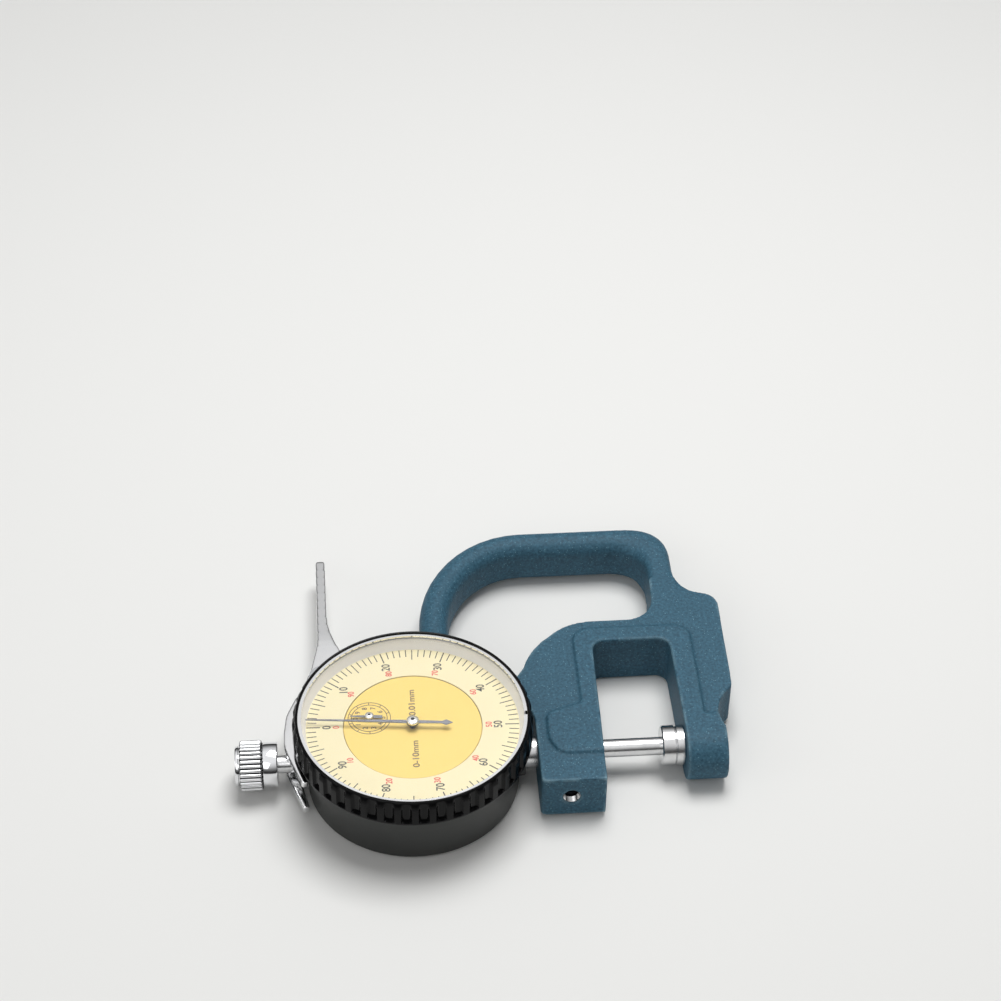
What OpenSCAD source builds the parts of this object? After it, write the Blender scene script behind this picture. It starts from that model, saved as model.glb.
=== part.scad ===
// Dial thickness gauge with a lifting lever, lying on its back.
// Origin: dial axis on the outer face of the back cover. +Z out of the dial,
// +X along the spindle from the knob to the anvil, +Y towards the finger handle.

/* [Dial] */
// Outer diameter of the bezel
bezel_d = 58.2; // [56:0.2:64]
// Wall of the bezel round the window
bezel_wall = 1.8; // [1.6:0.1:2.4]
// How far the bezel stands out past the case
bezel_overhang = 3.1; // [2.9:0.1:3.6]
// Height of the case rim that the bezel turns on
rim_h = 1.65; // [1.2:0.05:2.4]
// Number of flutes round the bezel
bezel_flutes = 44; // [30:2:60]
// Radius of one flute
flute_r = 1.5; // [0.8:0.1:1.6]
// Depth of one flute
flute_depth = 0.7; // [0.3:0.05:0.8]
// Height of the plain foot under the flutes
flute_foot = 0.8; // [0.5:0.1:1.5]
// Diameter of the fixed inner dial
inner_dial_d = 33.4; // [30.4:0.2:35]
// Thickness of the inner dial
inner_dial_t = 0.6; // [0.4:0.1:0.9]
// Thickness of the turning scale ring
scale_t = 0.9; // [0.6:0.1:1.2]
// Height of the white ring between scale and window
reflector_h = 2.8; // [2.6:0.1:4]
// Slope width of the white ring
reflector_w = 1.1; // [0.6:0.1:1.3]
// Thickness of the window
crystal_t = 1; // [0.7:0.1:1.5]
// Thickness of the split ring over the window
snap_t = 0.5; // [0.4:0.1:0.8]
// Width of the split ring
snap_w = 1.15; // [0.9:0.05:1.4]
// Angle of the split in that ring
snap_split_a = 358; // [0:1:359]
// Length of the large hand from its axis
large_hand_l = 26; // [20:0.2:26]
// Length of its tail
large_hand_tail = 9.7; // [6:0.1:11]
// Length of the small hand from its axis
small_hand_l = 4.7; // [3.5:0.1:5]
// Angle of both hands at rest, from the -X axis towards +Y
hand_a = 5; // [0:0.5:15]

/* [Case] */
// Wall of the case beside the movement
case_wall = 2.3; // [2:0.1:2.6]
// Width of the shoulder that carries the movement
case_shoulder = 2.4; // [2.2:0.1:3]
// Thickness of the back cover
cover_t = 1.4; // [1.2:0.1:2]
// How far the back cover stands proud of the case
cover_proud = 0.4; // [0.2:0.1:0.8]
// Rim of the case round the back cover
cover_rim = 1.4; // [1:0.1:1.6]
// Number of back cover screws
cover_screw_n = 4; // [3:1:6]

/* [Spindle] */
// Height of the spindle axis over the back face
spindle_z = 7.2; // [7:0.1:9]
// Spindle diameter
spindle_d = 4.5; // [4:0.1:4.8]
// Measuring travel
travel = 10; // [5:0.5:10]
// Diameter of the measuring discs
disc_d = 10; // [8:0.5:11]
// Thickness of the moving disc
contact_t = 3.4; // [2.6:0.1:4.5]
// Thickness of the fixed disc
anvil_t = 2.3; // [1.6:0.1:3]
// Stem diameter
stem_d = 8; // [7:0.1:9]
// Outer diameter of the top bush
bush_d = 6.5; // [6:0.1:7]
// Gap between the bezel and the knob's collar at rest
knob_gap = 4; // [3.6:0.1:6]
// Diameter and length of the knob's collar
collar_d = 11; // [9:0.2:12]
collar_l = 3.75; // [2.5:0.25:6]
// Diameter and length of the knob's knurled grip
knurl_d = 12.3; // [10:0.1:13]
knurl_l = 5.5; // [4:0.25:8]
// Number of ridges on the grip
knurl_n = 32; // [20:1:40]
// Diameter and length of the knob's end boss
boss_d = 9.8; // [7:0.2:10]
boss_l = 1.15; // [0.6:0.05:2]

/* [Train] */
// Teeth of the pinion on the rack
rack_teeth = 16; // [14:1:18]
// Teeth of the two large wheels
wheel_teeth = 100; // [90:2:104]
// Teeth of the centre pinion
pinion_teeth = 10; // [10:2:12]
// Spindle travel for one turn of the rack pinion
turn_travel = 10; // [9.6:0.1:10.2]
// Thickness of the large wheels
wheel_t = 0.7; // [0.5:0.1:0.9]
// Thickness of the movement plates
plate_t = 1.3; // [1:0.1:1.6]
// Distance between the movement plates
plate_space = 4.2; // [4:0.1:5]

/* [Lever] */
// Distance of the lever's hinge from the case wall
pivot_reach = 6.2; // [6:0.1:7.5]
// Direction of the hinge seen from the dial axis
pivot_a = 131.9; // [130:0.1:134]
// Length of the thumb horn from the hinge
horn_l = 46; // [40:0.5:52]
// Width of the horn at its tip
horn_w = 2.55; // [2:0.05:3.5]
// Length of the fork's prongs from the hinge
prong_l = 35.4; // [33:0.2:37]
// Thickness of the lever at the hinge
lever_t = 8; // [7:0.2:8.2]
// Thickness of the fork over both prongs
fork_t = 11; // [10:0.2:11.6]
// Gap between the prongs
fork_gap = 7; // [6:0.2:7.6]
// Diameter of the hinge pin
lever_pin_d = 3; // [2.4:0.1:3.4]

/* [Frame] */
// Thickness of the raised parts of the casting
frame_t = 14; // [12.8:0.2:14.2]
// Depth of the sunk panels on each side
panel_depth = 0.8; // [0.4:0.1:1]
// Gap between bezel and clamp block, seen from above
block_gap = 1.1; // [0.8:0.1:2]
// Width of the clamp block
block_w = 16.4; // [14:0.2:20]
// Reach of the clamp block in front of the spindle
block_front = 15.2; // [13:0.2:18]
// Width of the throat at its root
throat_w = 20.2; // [18.5:0.2:26]
// Widening of the throat on each side, root to mouth
throat_draft = 0.6; // [0.2:0.1:0.8]
// Depth of the throat behind the spindle
throat_depth = 30.5; // [27:0.5:36]
// Fillet in the throat's corners
throat_r = 3; // [2:0.5:5]
// Width of the casting behind the throat
back_w = 8; // [7:0.5:12]
// Width of the arm
arm_w = 14.3; // [13:0.1:17]
// Width of the lug at the arm's end
lug_w = 10; // [9:0.2:11.5]
// Reach of the lug's round end in front of the spindle
lug_nose = 2.2; // [1.5:0.1:4]
// Width of the raised rim round the throat
rim_w = 4.6; // [3.5:0.1:5.2]
// Diameter of the clamp screw
set_screw_d = 4.2; // [3:0.1:5]
// How far that screw is sunk in its hole
set_screw_sink = 2; // [0.5:0.1:3]

/* [Handle] */
// Clear finger space between casting and handle
finger_gap = 27.9; // [24:0.1:34]
// Width of the handle along its grip
handle_w = 8; // [7:0.1:10]
// Width of the handle where it leaves the arm
handle_root_w = 6.2; // [5.6:0.2:9]
// Width of the handle at its free end
handle_end_w = 7.4; // [6:0.1:9]
// Bend of the handle's middle line at the arm
handle_bend = 9.5; // [8:0.5:12]
// Width of the sweep from the grip down to the free leg
sweep_x = 24.5; // [20:0.5:28]
// Distance of the free leg's middle line from the dial axis
leg_x = 7.2; // [4:0.1:10]
// Straight length of the free leg
leg_l = 7.4; // [5:0.2:12]
// Place of the free end behind the dial axis
leg_end_y = 33; // [31:0.5:38]

/* [Clearances] */
// Radial running clearance of turning and sliding shafts
run = 0.03; // [0.02:0.01:0.06]
// Radial clearance of parts that are pressed or screwed in
seat = 0.01; // [0.01:0.01:0.03]
// Clearance between the lever and its bracket's ears
ear_gap = 0.15; // [0.1:0.05:0.3]
// Gap under parts that turn over a fixed face
face_gap = 0.2; // [0.15:0.05:0.3]
// Gap between the measuring discs at rest
disc_gap = 0.02; // [0.01:0.01:0.03]

/* [Hidden] */
$fn = 64;
join = 0.5;
slot_share = 0.35;

// Radii of the dial and case
bezel_r = bezel_d / 2;
bezel_ir = bezel_r - bezel_wall;
case_r = bezel_r - bezel_overhang;
case_ir = case_r - case_wall;
shoulder_ir = case_ir - case_shoulder;
rim_r = case_r - 0.58;
cover_r = case_r - cover_rim;
spindle_r = spindle_d / 2;
inner_dial_r = inner_dial_d / 2;

// Heights, from the back cover up to the bezel's lip
rear_plate_z = spindle_z + spindle_r + 0.55;
rear_plate_top = rear_plate_z + plate_t;
front_plate_z = rear_plate_top + plate_space;
front_plate_top = front_plate_z + plate_t;
ledge_z = front_plate_top + face_gap + 0.3;
bezel_z = ledge_z - rim_h;
scale_top = ledge_z + scale_t;
inner_dial_z = scale_top - 0.16 - inner_dial_t;
crystal_z = scale_top + reflector_h;
snap_z = crystal_z + crystal_t;
lip_z = snap_z + snap_t + 0.05;
bezel_top = lip_z + 0.35;
large_hand_z = scale_top + 1.4;
small_hand_z = scale_top + 0.3;

// Gear train: the counter lies opposite the rack arbor, across the centre pinion
module_mm = turn_travel / (PI * rack_teeth);
rack_tip_y = spindle_r - 0.35;
rack_pitch_y = rack_tip_y - 0.8 * module_mm;
train_c = module_mm * (wheel_teeth + pinion_teeth) / 2;
arbor_y = -(rack_pitch_y + module_mm * rack_teeth / 2);
arbor_x = sqrt(train_c * train_c - arbor_y * arbor_y);
arbor = [arbor_x, arbor_y];
counter = -arbor;
mesh_a = atan2(arbor_y, arbor_x);
wheel_z = rear_plate_top + 0.9;
pivot_r = 0.45;
arbor_r = 0.8;
pillar_ring = shoulder_ir - 3.3;
pillar_r = 1.6;
pillar_angles = [50, 110, 230, 290];
spring_turns = 7;
hairspring_w = 0.12;
stud_r = 0.48;

// Movement parts under the rear plate
bridge_t = 1;
bridge_z = spindle_z - 3.3;
bridge_feet = [[arbor_x - 4.5, arbor_y - 5.2], [arbor_x + 4.5, arbor_y - 5.2]];
guide_pin_r = 0.8;
rail_y = spindle_r + 0.85;
rail_w = 3;
rail_end = 1;
rail_play = 0.3;
rail_case_gap = 2.3;
rail_x0 = rail_case_gap - sqrt(pow(shoulder_ir, 2) - pow(rail_y + rail_w, 2));
guide_x = rail_x0 + rail_end + rail_play + guide_pin_r + travel;
rail_x1 = guide_x + guide_pin_r + rail_play + rail_end;
rail_tenons = [rail_x0 + 2, rail_x1 - 2];
spring_y = rail_y + rail_w + 1.3;
spring_post = [arbor_x + 2.8, spring_y];
spring_post_r = 0.9;

// Places along the spindle
block_x = bezel_r + block_gap;
block_x1 = block_x + block_w;
arm_x = block_x1 + throat_w;
arm_x1 = arm_x + arm_w;
lug_x1 = arm_x + lug_w;
measure_x = arm_x - anvil_t;
contact_x = measure_x - contact_t - disc_gap;
collar_x = -(bezel_r + knob_gap);
knurl_x = collar_x - collar_l;
boss_x = knurl_x - knurl_l;
stem_x = case_ir + 0.1;
stem_x1 = block_x1 - 0.6;
bush_x1 = -(case_r + 2.4);
disc_rim = 0.3;
knob_rim = 0.35;
spigot_r = 1.5;
spigot_l = 7;
contact_spigot_r = 1.2;
contact_spigot_l = 2;
anvil_shank_r = 2.5;
anvil_shank_l = 7;

// Lever hinge, in the plan
pivot_d = case_r + pivot_reach;
pivot = pivot_d * [cos(pivot_a), sin(pivot_a)];
hub_r = 4.2;
fork_root = 16;
ear_r = 3.4;
ear_t = 1.5;
bracket_t = 1.6;
bracket_w = 15;
bracket_screw_y = 5.3;

// Casting outline
base_half = frame_t / 2 - panel_depth;
back_y = throat_depth + back_w;
arm_bulge = 0.6;
shoulder_y = back_y + 7.5;
handle_y = back_y + finger_gap + handle_w / 2;
sweep_y = handle_y - leg_end_y - leg_l;
root_x = arm_x + 0.8;
root_y = back_y + 8;
root_top = back_y + 15;
root_cheek = handle_root_w / 2 + 0.25;
nose_angles = [0, 30, 55, 75];
lug_neck_y = 3;
waist_y = 14.5;
shoulder_rise = 3.1;
finger_fillet = 7.5;
flank_top_x = block_x + 9;
flank_x = block_x - 3.9;
flank_y = back_y - 19.3;
pad_y = -6.6;
pad_x = block_x + 3.1;
pad_top = 6.5;
rim_x = block_x1 - rim_w + 0.3;
rim_x1 = arm_x + rim_w + 0.6;
set_screw_x = block_x + 0.45 * block_w;

// A point on a circle
function polar(r, a) = r * [cos(a), sin(a)];

// Arc points round a corner of a polygon, for corners given as [x, y, radius]
function corner(p, q, s) =
    let (u = [p[0] - q[0], p[1] - q[1]], v = [s[0] - q[0], s[1] - q[1]])
    let (lu = norm(u), lv = norm(v), half = acos((u * v) / (lu * lv)) / 2)
    let (cut = min(q[2] / tan(half), 0.49 * min(lu, lv)), r = cut * tan(half))
    let (bis = u / lu + v / lv, c = [q[0], q[1]] + bis / norm(bis) * r / sin(half))
    let (a = [q[0], q[1]] + u / lu * cut - c, b = [q[0], q[1]] + v / lv * cut - c)
    let (a0 = atan2(a[1], a[0]), turn = atan2(a[0] * b[1] - a[1] * b[0], a * b))
    let (steps = max(2, ceil(abs(turn) / 10)))
    [for (i = [0 : steps]) c + polar(r, a0 + turn * i / steps)];

// Polygon outline with rounded corners
function rounded(pts) =
    let (n = len(pts))
    [
        for (i = [0 : n - 1])
            for (p = pts[i][2] > 0 ? corner(pts[(i + n - 1) % n], pts[i], pts[(i + 1) % n])
                                   : [[pts[i][0], pts[i][1]]])
                p
    ];

// A cylinder along +X from x0 to x1, on the spindle axis
module rod_x(x0, x1, r) {
    translate([x0, 0, spindle_z])
        rotate([0, 90, 0])
            cylinder(h = x1 - x0, r = r);
}

// A turned piece on the spindle axis, from [radius, length] points, starting at x0
module turned_x(x0, points) {
    translate([x0, 0, spindle_z])
        rotate([0, 90, 0])
            rotate_extrude()
                polygon(points);
}

// Outline of a disc with its rims broken by c
function disc_points(r, l, c) = [[0, 0], [r - c, 0], [r, c], [r, l - c], [r - c, l], [0, l]];

// A prism from a plan outline
module slab(z0, z1) {
    translate([0, 0, z0])
        linear_extrude(z1 - z0)
            children();
}

// Straight-sided gear teeth: half widths are given as shares of the tooth pitch
module gear_profile(teeth, tip, root, half_tip, half_pitch, half_root, first_tooth_a) {
    r = module_mm * teeth / 2;
    step = 360 / teeth;
    polygon([
        for (i = [0 : teeth - 1])
            for (k = [[root, -half_root], [0, -half_pitch], [tip, -half_tip],
                      [tip, half_tip], [0, half_pitch], [root, half_root]])
                polar(r + k[0] * module_mm,
                      first_tooth_a + step * i + step * k[1] * r / (r + k[0] * module_mm))
    ]);
}

// Screw with a slotted flat head, pointing down from z
module screw(z, head_r, head_h, shank_r, length) {
    translate([0, 0, z - length])
        cylinder(h = length, r = shank_r);
    difference() {
        translate([0, 0, z])
            cylinder(h = head_h, r = head_r);
        translate([-head_r - 1, -slot_share * head_r / 2, z + head_h / 2])
            cube([2 * head_r + 2, slot_share * head_r, head_h]);
    }
}

// Casting

module throat_outline() {
    polygon(rounded([
        [block_x1 - throat_draft, -block_front - 3, 0],
        [arm_x, -block_front - 3, 0],
        [arm_x, 4, 0],
        [arm_x - throat_draft / 2, throat_depth, throat_r],
        [block_x1 + throat_draft / 2, throat_depth, throat_r]
    ]));
}

module casting_outline() {
    polygon(rounded([
        [block_x, -block_front, 1.2],
        [block_x1 + 4, -block_front, 0],
        [block_x1 + 4, 0, 0],
        [lug_x1, 0, 0],
        [lug_x1, lug_neck_y, 2],
        [arm_x1 - arm_bulge, waist_y, 5],
        [arm_x1, shoulder_y, 4.5],
        [root_x + root_cheek, shoulder_y + shoulder_rise, 5],
        [root_x + root_cheek, root_top, 0],
        [root_x - root_cheek, root_top, 0],
        [root_x - root_cheek - 0.6, back_y, finger_fillet],
        [flank_top_x, back_y, 15],
        [flank_x, flank_y, 2.5],
        [block_x, 6, 6]
    ]));
}

module raised_outline() {
    polygon(rounded([
        [block_x1 + 1, pad_y, 0],
        [pad_x + 2, pad_y, 4],
        [pad_x, pad_y + 4.6, 4],
        [pad_x, pad_top, 2.5],
        [rim_x, pad_top + 3, 1.5],
        [rim_x, throat_depth + rim_w, 4],
        [rim_x1, throat_depth + rim_w, 4],
        [rim_x1, 1, 0],
        [arm_x - 1, 1, 0]
    ]));
}

// Middle line of the handle, from its root on the arm to its free end
function handle_path() =
    let (x1 = root_x - handle_bend, x2 = leg_x + sweep_x, y1 = handle_y - handle_bend)
    concat(
        [for (i = [0 : 2]) [root_x, root_y + (y1 - root_y) * i / 3]],
        [for (a = [0 : 10 : 90]) [x1, y1] + polar(handle_bend, a)],
        [for (i = [1 : 5]) [x1 + (x2 - x1) * i / 6, handle_y]],
        [for (a = [90 : 7.5 : 180]) [x2 + sweep_x * cos(a), handle_y - sweep_y + sweep_y * sin(a)]],
        [[leg_x, leg_end_y + (leg_l + handle_end_w / 2) / 2]],
        [for (a = nose_angles) [leg_x, leg_end_y + handle_end_w / 2 * (1 - sin(a))]]
    );

// Section of the handle: a rectangle with round corners, as [across, up] points
function handle_section(half_w, half_h, r) =
    [
        for (q = [[1, 1, 0], [-1, 1, 90], [-1, -1, 180], [1, -1, 270]])
            for (a = [0 : 18 : 90])
                [q[0] * (half_w - r), q[1] * (half_h - r)] + polar(r, q[2] + a)
    ];

// Handle swept along its middle line: flat sided at the root, round at the grip
module handle() {
    path = handle_path();
    n = len(path);
    round_from = n - len(nose_angles);
    root_share = 0.3;
    rings = [
        for (i = [0 : n - 1])
            let (t = i / (n - 1), d = path[min(i + 1, n - 1)] - path[max(i - 1, 0)])
            let (side = [d[1], -d[0]] / norm(d), past = (t - root_share) / (1 - root_share))
            let (grip = t < root_share ? handle_root_w + (handle_w - handle_root_w) * t / root_share
                                       : handle_w + (handle_end_w - handle_w) * past)
            let (nose = i < round_from ? 1 : cos(nose_angles[i - round_from]))
            let (half_w = grip / 2 * nose, drop = handle_end_w / 2 * (1 - nose))
            let (half_h = base_half - 0.1 + min(0.4, 2 * t) - drop)
            [
                for (q = handle_section(half_w, half_h, min(half_w - 0.05, 1.2 + 12 * t)))
                    concat(path[i] + side * q[0], spindle_z + q[1])
            ]
    ];
    polyhedron(
        points = [for (r = rings) for (q = r) q],
        faces = tube_faces(n, len(rings[0]))
    );
}

module lug() {
    translate([arm_x - 1, 0, spindle_z])
        rotate([90, 0, 90])
            linear_extrude(lug_w + 1) {
                translate([-lug_nose, 0])
                    circle(r = frame_t / 2);
                translate([-lug_nose, -frame_t / 2])
                    square([lug_nose + 4, frame_t]);
            }
}

module frame() {
    color("#41606d")
        difference() {
            union() {
                slab(spindle_z - base_half, spindle_z + base_half)
                    casting_outline();
                slab(spindle_z - frame_t / 2, spindle_z + frame_t / 2)
                    raised_outline();
                lug();
                handle();
            }
            slab(spindle_z - frame_t, spindle_z + frame_t)
                throat_outline();
            rod_x(block_x - 5, block_x1 + 2, stem_d / 2 + seat);
            rod_x(arm_x - 2, arm_x + anvil_shank_l + 0.5, anvil_shank_r + seat);
            translate([set_screw_x, 0, spindle_z])
                rotate([90, 0, 0])
                    cylinder(h = block_front + 1, r = set_screw_d / 2);
        }
}

module stem_set_screw() {
    tip = stem_d / 2 + 0.05;
    length = block_front - tip - set_screw_sink;
    color("#8a8c8e")
        translate([set_screw_x, -tip, spindle_z])
            rotate([90, 0, 0])
                difference() {
                    cylinder(h = length, r = set_screw_d / 2 - 0.05);
                    translate([-set_screw_d, -0.4, length - 1])
                        cube([2 * set_screw_d, 0.8, 2]);
                }
}

module anvil() {
    color("#c9cbcc") {
        turned_x(measure_x, disc_points(disc_d / 2, anvil_t, disc_rim));
        rod_x(arm_x - join, arm_x + anvil_shank_l, anvil_shank_r);
    }
}

module contact_disc() {
    color("#c9cbcc")
        difference() {
            turned_x(contact_x, disc_points(disc_d / 2, contact_t, disc_rim));
            rod_x(contact_x - 1, contact_x + contact_spigot_l + 0.2, contact_spigot_r + seat);
        }
}

// Case and its covers

module case() {
    color("#2b2d2c")
        difference() {
            union() {
                rotate_extrude()
                    polygon([
                        [shoulder_ir, cover_t],
                        [cover_r + 0.05, cover_t],
                        [cover_r + 0.05, cover_proud],
                        [case_r - 0.5, cover_proud],
                        [case_r, cover_proud + 0.5],
                        [case_r, bezel_z - face_gap],
                        [rim_r, bezel_z - face_gap],
                        [rim_r, ledge_z - face_gap],
                        [case_ir, ledge_z - face_gap],
                        [case_ir, rear_plate_z],
                        [shoulder_ir, rear_plate_z]
                    ]);
                rod_x(case_ir + 0.8, case_r + 1.2, stem_d / 2 + 1.6);
                rod_x(-case_r - 1, -case_ir - 0.8, bush_d / 2 + 1.4);
            }
            rod_x(case_ir - 1, case_r + 3, stem_d / 2 + seat);
            rod_x(-case_r - 3, -case_ir + 1, bush_d / 2 + seat);
            for (side = [-1, 1])
                spindle_slot(side);
            for (a = screw_angles(cover_screw_n, 45))
                rotate(a)
                    translate([cover_screw_ring(), 0, 0])
                        cylinder(h = 5, r = 0.75);
            for (a = movement_angles())
                rotate(a)
                    translate([movement_ring(), 0, rear_plate_z - 3.2])
                        cylinder(h = 4, r = 0.7);
            bracket_holes(0.9);
        }
}

// Angles of a ring of screws
function screw_angles(n, first) = [for (i = [0 : n - 1]) first + 360 * i / n];
function movement_angles() = screw_angles(3, 30);
function movement_ring() = case_ir - 1.4;
function cover_screw_ring() = (shoulder_ir + cover_r) / 2;

// Way through the case's shoulder for the spindle, open under the rear plate
module spindle_slot(side) {
    w = 2 * spindle_r + 0.7;
    x0 = side > 0 ? shoulder_ir - 2 : -case_ir - 0.05;
    x1 = side > 0 ? case_ir + 0.05 : -shoulder_ir + 2;
    rod_x(x0, x1, w / 2);
    translate([x0, -w / 2, spindle_z])
        cube([x1 - x0, w, rear_plate_z - spindle_z + 0.01]);
}

module bracket_holes(r) {
    rotate(pivot_a)
        for (y = [-bracket_screw_y, bracket_screw_y])
            translate([case_r - 3.4, y, spindle_z])
                rotate([0, 90, 0])
                    cylinder(h = 8, r = r);
}

module top_bush() {
    color("#b9bbbc")
        difference() {
            rod_x(bush_x1, -stem_x, bush_d / 2);
            rod_x(bush_x1 - 1, -stem_x + 1, spindle_r + run);
        }
}

module stem() {
    color("#c4c6c7")
        difference() {
            rod_x(stem_x, stem_x1, stem_d / 2);
            rod_x(stem_x - 1, stem_x1 + 1, spindle_r + run);
        }
}

module back_cover() {
    color("#30322f")
        difference() {
            rotate_extrude()
                polygon([[0, 0], [cover_r - 0.4, 0], [cover_r, 0.4], [cover_r, cover_t], [0, cover_t]]);
            for (a = screw_angles(cover_screw_n, 45))
                rotate(a)
                    translate([cover_screw_ring(), 0, -1]) {
                        cylinder(h = cover_t + 2, r = 0.8);
                        cylinder(h = 1.9, r = 1.5);
                    }
        }
}

module back_cover_screws() {
    color("#9a9c9d")
        for (a = screw_angles(cover_screw_n, 45))
            rotate(a)
                translate([cover_screw_ring(), 0, 0])
                    mirror([0, 0, 1])
                        screw(-0.9, 1.4, 0.7, 0.74, 3.8);
}

// Movement plates and what they carry

module rear_plate() {
    color("#c7a24c")
        difference() {
            slab(rear_plate_z, rear_plate_top)
                circle(r = case_ir - 0.3);
            translate([arbor_x, arbor_y, rear_plate_z - 1])
                cylinder(h = plate_t + 2, r = arbor_r + 0.4);
            translate([0, 0, rear_plate_z - 1])
                cylinder(h = plate_t + 2, r = pivot_r + run);
            translate([counter[0], counter[1], rear_plate_z - 1])
                cylinder(h = plate_t + 2, r = pivot_r + run);
            for (a = pillar_angles)
                translate(concat(polar(pillar_ring, a), rear_plate_z - 1))
                    cylinder(h = plate_t + 2, r = pillar_tenon_r() + seat);
            for (a = movement_angles())
                translate(concat(polar(movement_ring(), a), rear_plate_z - 1))
                    cylinder(h = plate_t + 2, r = 0.75);
            for (p = bridge_feet)
                translate([p[0], p[1], rear_plate_z - 1])
                    cylinder(h = plate_t + 2, r = 0.65);
            for (x = rail_tenons)
                translate([x, rail_y + rail_w / 2, rear_plate_z - 1])
                    cylinder(h = plate_t + 2, r = tenon_r() + seat);
            translate([spring_post[0], spring_post[1], rear_plate_z - 1])
                cylinder(h = plate_t + 2, r = tenon_r() + seat);
        }
}

function tenon_r() = 0.7;
function pillar_tenon_r() = 0.9;

module movement_screws() {
    color("#9a9c9d")
        for (a = movement_angles())
            translate(polar(movement_ring(), a))
                screw(rear_plate_top, 1.1, 0.5, 0.69, plate_t + 3);
}

module plate_pillars() {
    color("#c7a24c")
        for (a = pillar_angles)
            translate(polar(pillar_ring, a))
                difference() {
                    union() {
                        translate([0, 0, rear_plate_top])
                            cylinder(h = plate_space, r = pillar_r);
                        translate([0, 0, rear_plate_z])
                            cylinder(h = plate_t + join, r = pillar_tenon_r());
                    }
                    translate([0, 0, front_plate_z - 2.6])
                        cylinder(h = 3, r = 0.7);
                }
}

module front_plate() {
    color("#c7a24c")
        difference() {
            slab(front_plate_z, front_plate_top)
                circle(r = pillar_ring + 2.4);
            translate([arbor_x, arbor_y, front_plate_z - 1])
                cylinder(h = plate_t + 2, r = pivot_r + run);
            for (p = [[0, 0], counter])
                translate([p[0], p[1], front_plate_z - 1])
                    cylinder(h = plate_t + 2, r = post_r() + run);
            for (a = pillar_angles)
                translate(concat(polar(pillar_ring, a), front_plate_z - 1)) {
                    cylinder(h = plate_t + 2, r = 0.75);
                    translate([0, 0, 1 + plate_t - 0.6])
                        cylinder(h = 2, r = 1.3);
                }
            for (s = [-1, 1])
                translate([0, s * dial_foot_y(), front_plate_z - 1])
                    cylinder(h = plate_t + 2, r = 0.6 + seat);
            translate(concat(hairspring_end(), front_plate_z - 1))
                cylinder(h = plate_t + 2, r = stud_r + seat);
        }
}

// Radius of the hand posts, and place of the dial's feet
function post_r() = 0.5;
function dial_foot_y() = inner_dial_r - 2.4;

module plate_screws() {
    color("#9a9c9d")
        for (a = pillar_angles)
            translate(polar(pillar_ring, a))
                screw(front_plate_top - 0.6, 1.2, 0.55, 0.69, plate_t - 0.6 + 2.4);
}

module lower_bridge() {
    color("#c7a24c")
        difference() {
            union() {
                slab(bridge_z, bridge_z + bridge_t) {
                    for (p = bridge_feet)
                        translate(p)
                            circle(r = 1.6);
                    translate(arbor)
                        circle(r = 1.3);
                    polygon([bridge_feet[0] + [0, 1.6], bridge_feet[0] - [0, 1.6],
                             bridge_feet[1] - [0, 1.6], bridge_feet[1] + [0, 1.6],
                             arbor + [1.3, 0], arbor - [1.3, 0]]);
                }
                for (p = bridge_feet)
                    translate([p[0], p[1], bridge_z])
                        cylinder(h = rear_plate_z - bridge_z, r = 1.3);
            }
            translate([arbor_x, arbor_y, bridge_z - 1])
                cylinder(h = bridge_t + 2, r = pivot_r + run);
            for (p = bridge_feet)
                translate([p[0], p[1], rear_plate_z - 2.6])
                    cylinder(h = 3, r = 0.65);
        }
}

module bridge_screws() {
    color("#9a9c9d")
        for (p = bridge_feet)
            translate(p)
                screw(rear_plate_top, 1.1, 0.5, 0.64, plate_t + 2.4);
}

module guide_rail() {
    slot_h = 2 * (guide_pin_r + 0.06);
    color("#c7a24c")
        difference() {
            union() {
                translate([rail_x0, rail_y, spindle_z - 2.2])
                    cube([rail_x1 - rail_x0, rail_w, rear_plate_z - spindle_z + 2.2]);
                for (x = rail_tenons)
                    translate([x, rail_y + rail_w / 2, rear_plate_z - join])
                        cylinder(h = plate_t + join, r = tenon_r());
            }
            translate([rail_x0 + rail_end, rail_y - 1, spindle_z - slot_h / 2])
                cube([rail_x1 - rail_x0 - 2 * rail_end, rail_w + 2, slot_h]);
        }
}

module spring_post_pin() {
    color("#9a9c9d")
        translate(spring_post) {
            translate([0, 0, spindle_z - 1.2])
                cylinder(h = rear_plate_z - spindle_z + 1.2, r = spring_post_r);
            translate([0, 0, rear_plate_z - join])
                cylinder(h = plate_t + join, r = tenon_r());
        }
}

// Tension spring between the guide pin and its post
module return_spring() {
    coil_r = 1.1;
    wire_r = 0.2;
    turns = 10;
    steps = 120;
    sides = 6;
    x0 = guide_x + guide_pin_r + 0.1;
    x1 = spring_post[0] - spring_post_r - 0.1;
    path = [
        for (i = [0 : steps])
            let (t = i / steps, r = coil_r * min(1, 9 * t, 9 * (1 - t)), a = 360 * turns * t)
            [x0 + (x1 - x0) * t, spring_y + r * cos(a), spindle_z + r * sin(a)]
    ];
    color("#a8aaab")
        polyhedron(
            points = [
                for (i = [0 : steps])
                    let (d = path[min(i + 1, steps)] - path[max(i - 1, 0)], f = d / norm(d))
                    let (u = cross(f, [0.05, 0.3, 1]), s = u / norm(u), v = cross(f, s))
                    for (k = [0 : sides - 1])
                        path[i] + wire_r * (s * cos(360 * k / sides) + v * sin(360 * k / sides))
            ],
            faces = tube_faces(steps + 1, sides)
        );
}

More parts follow.
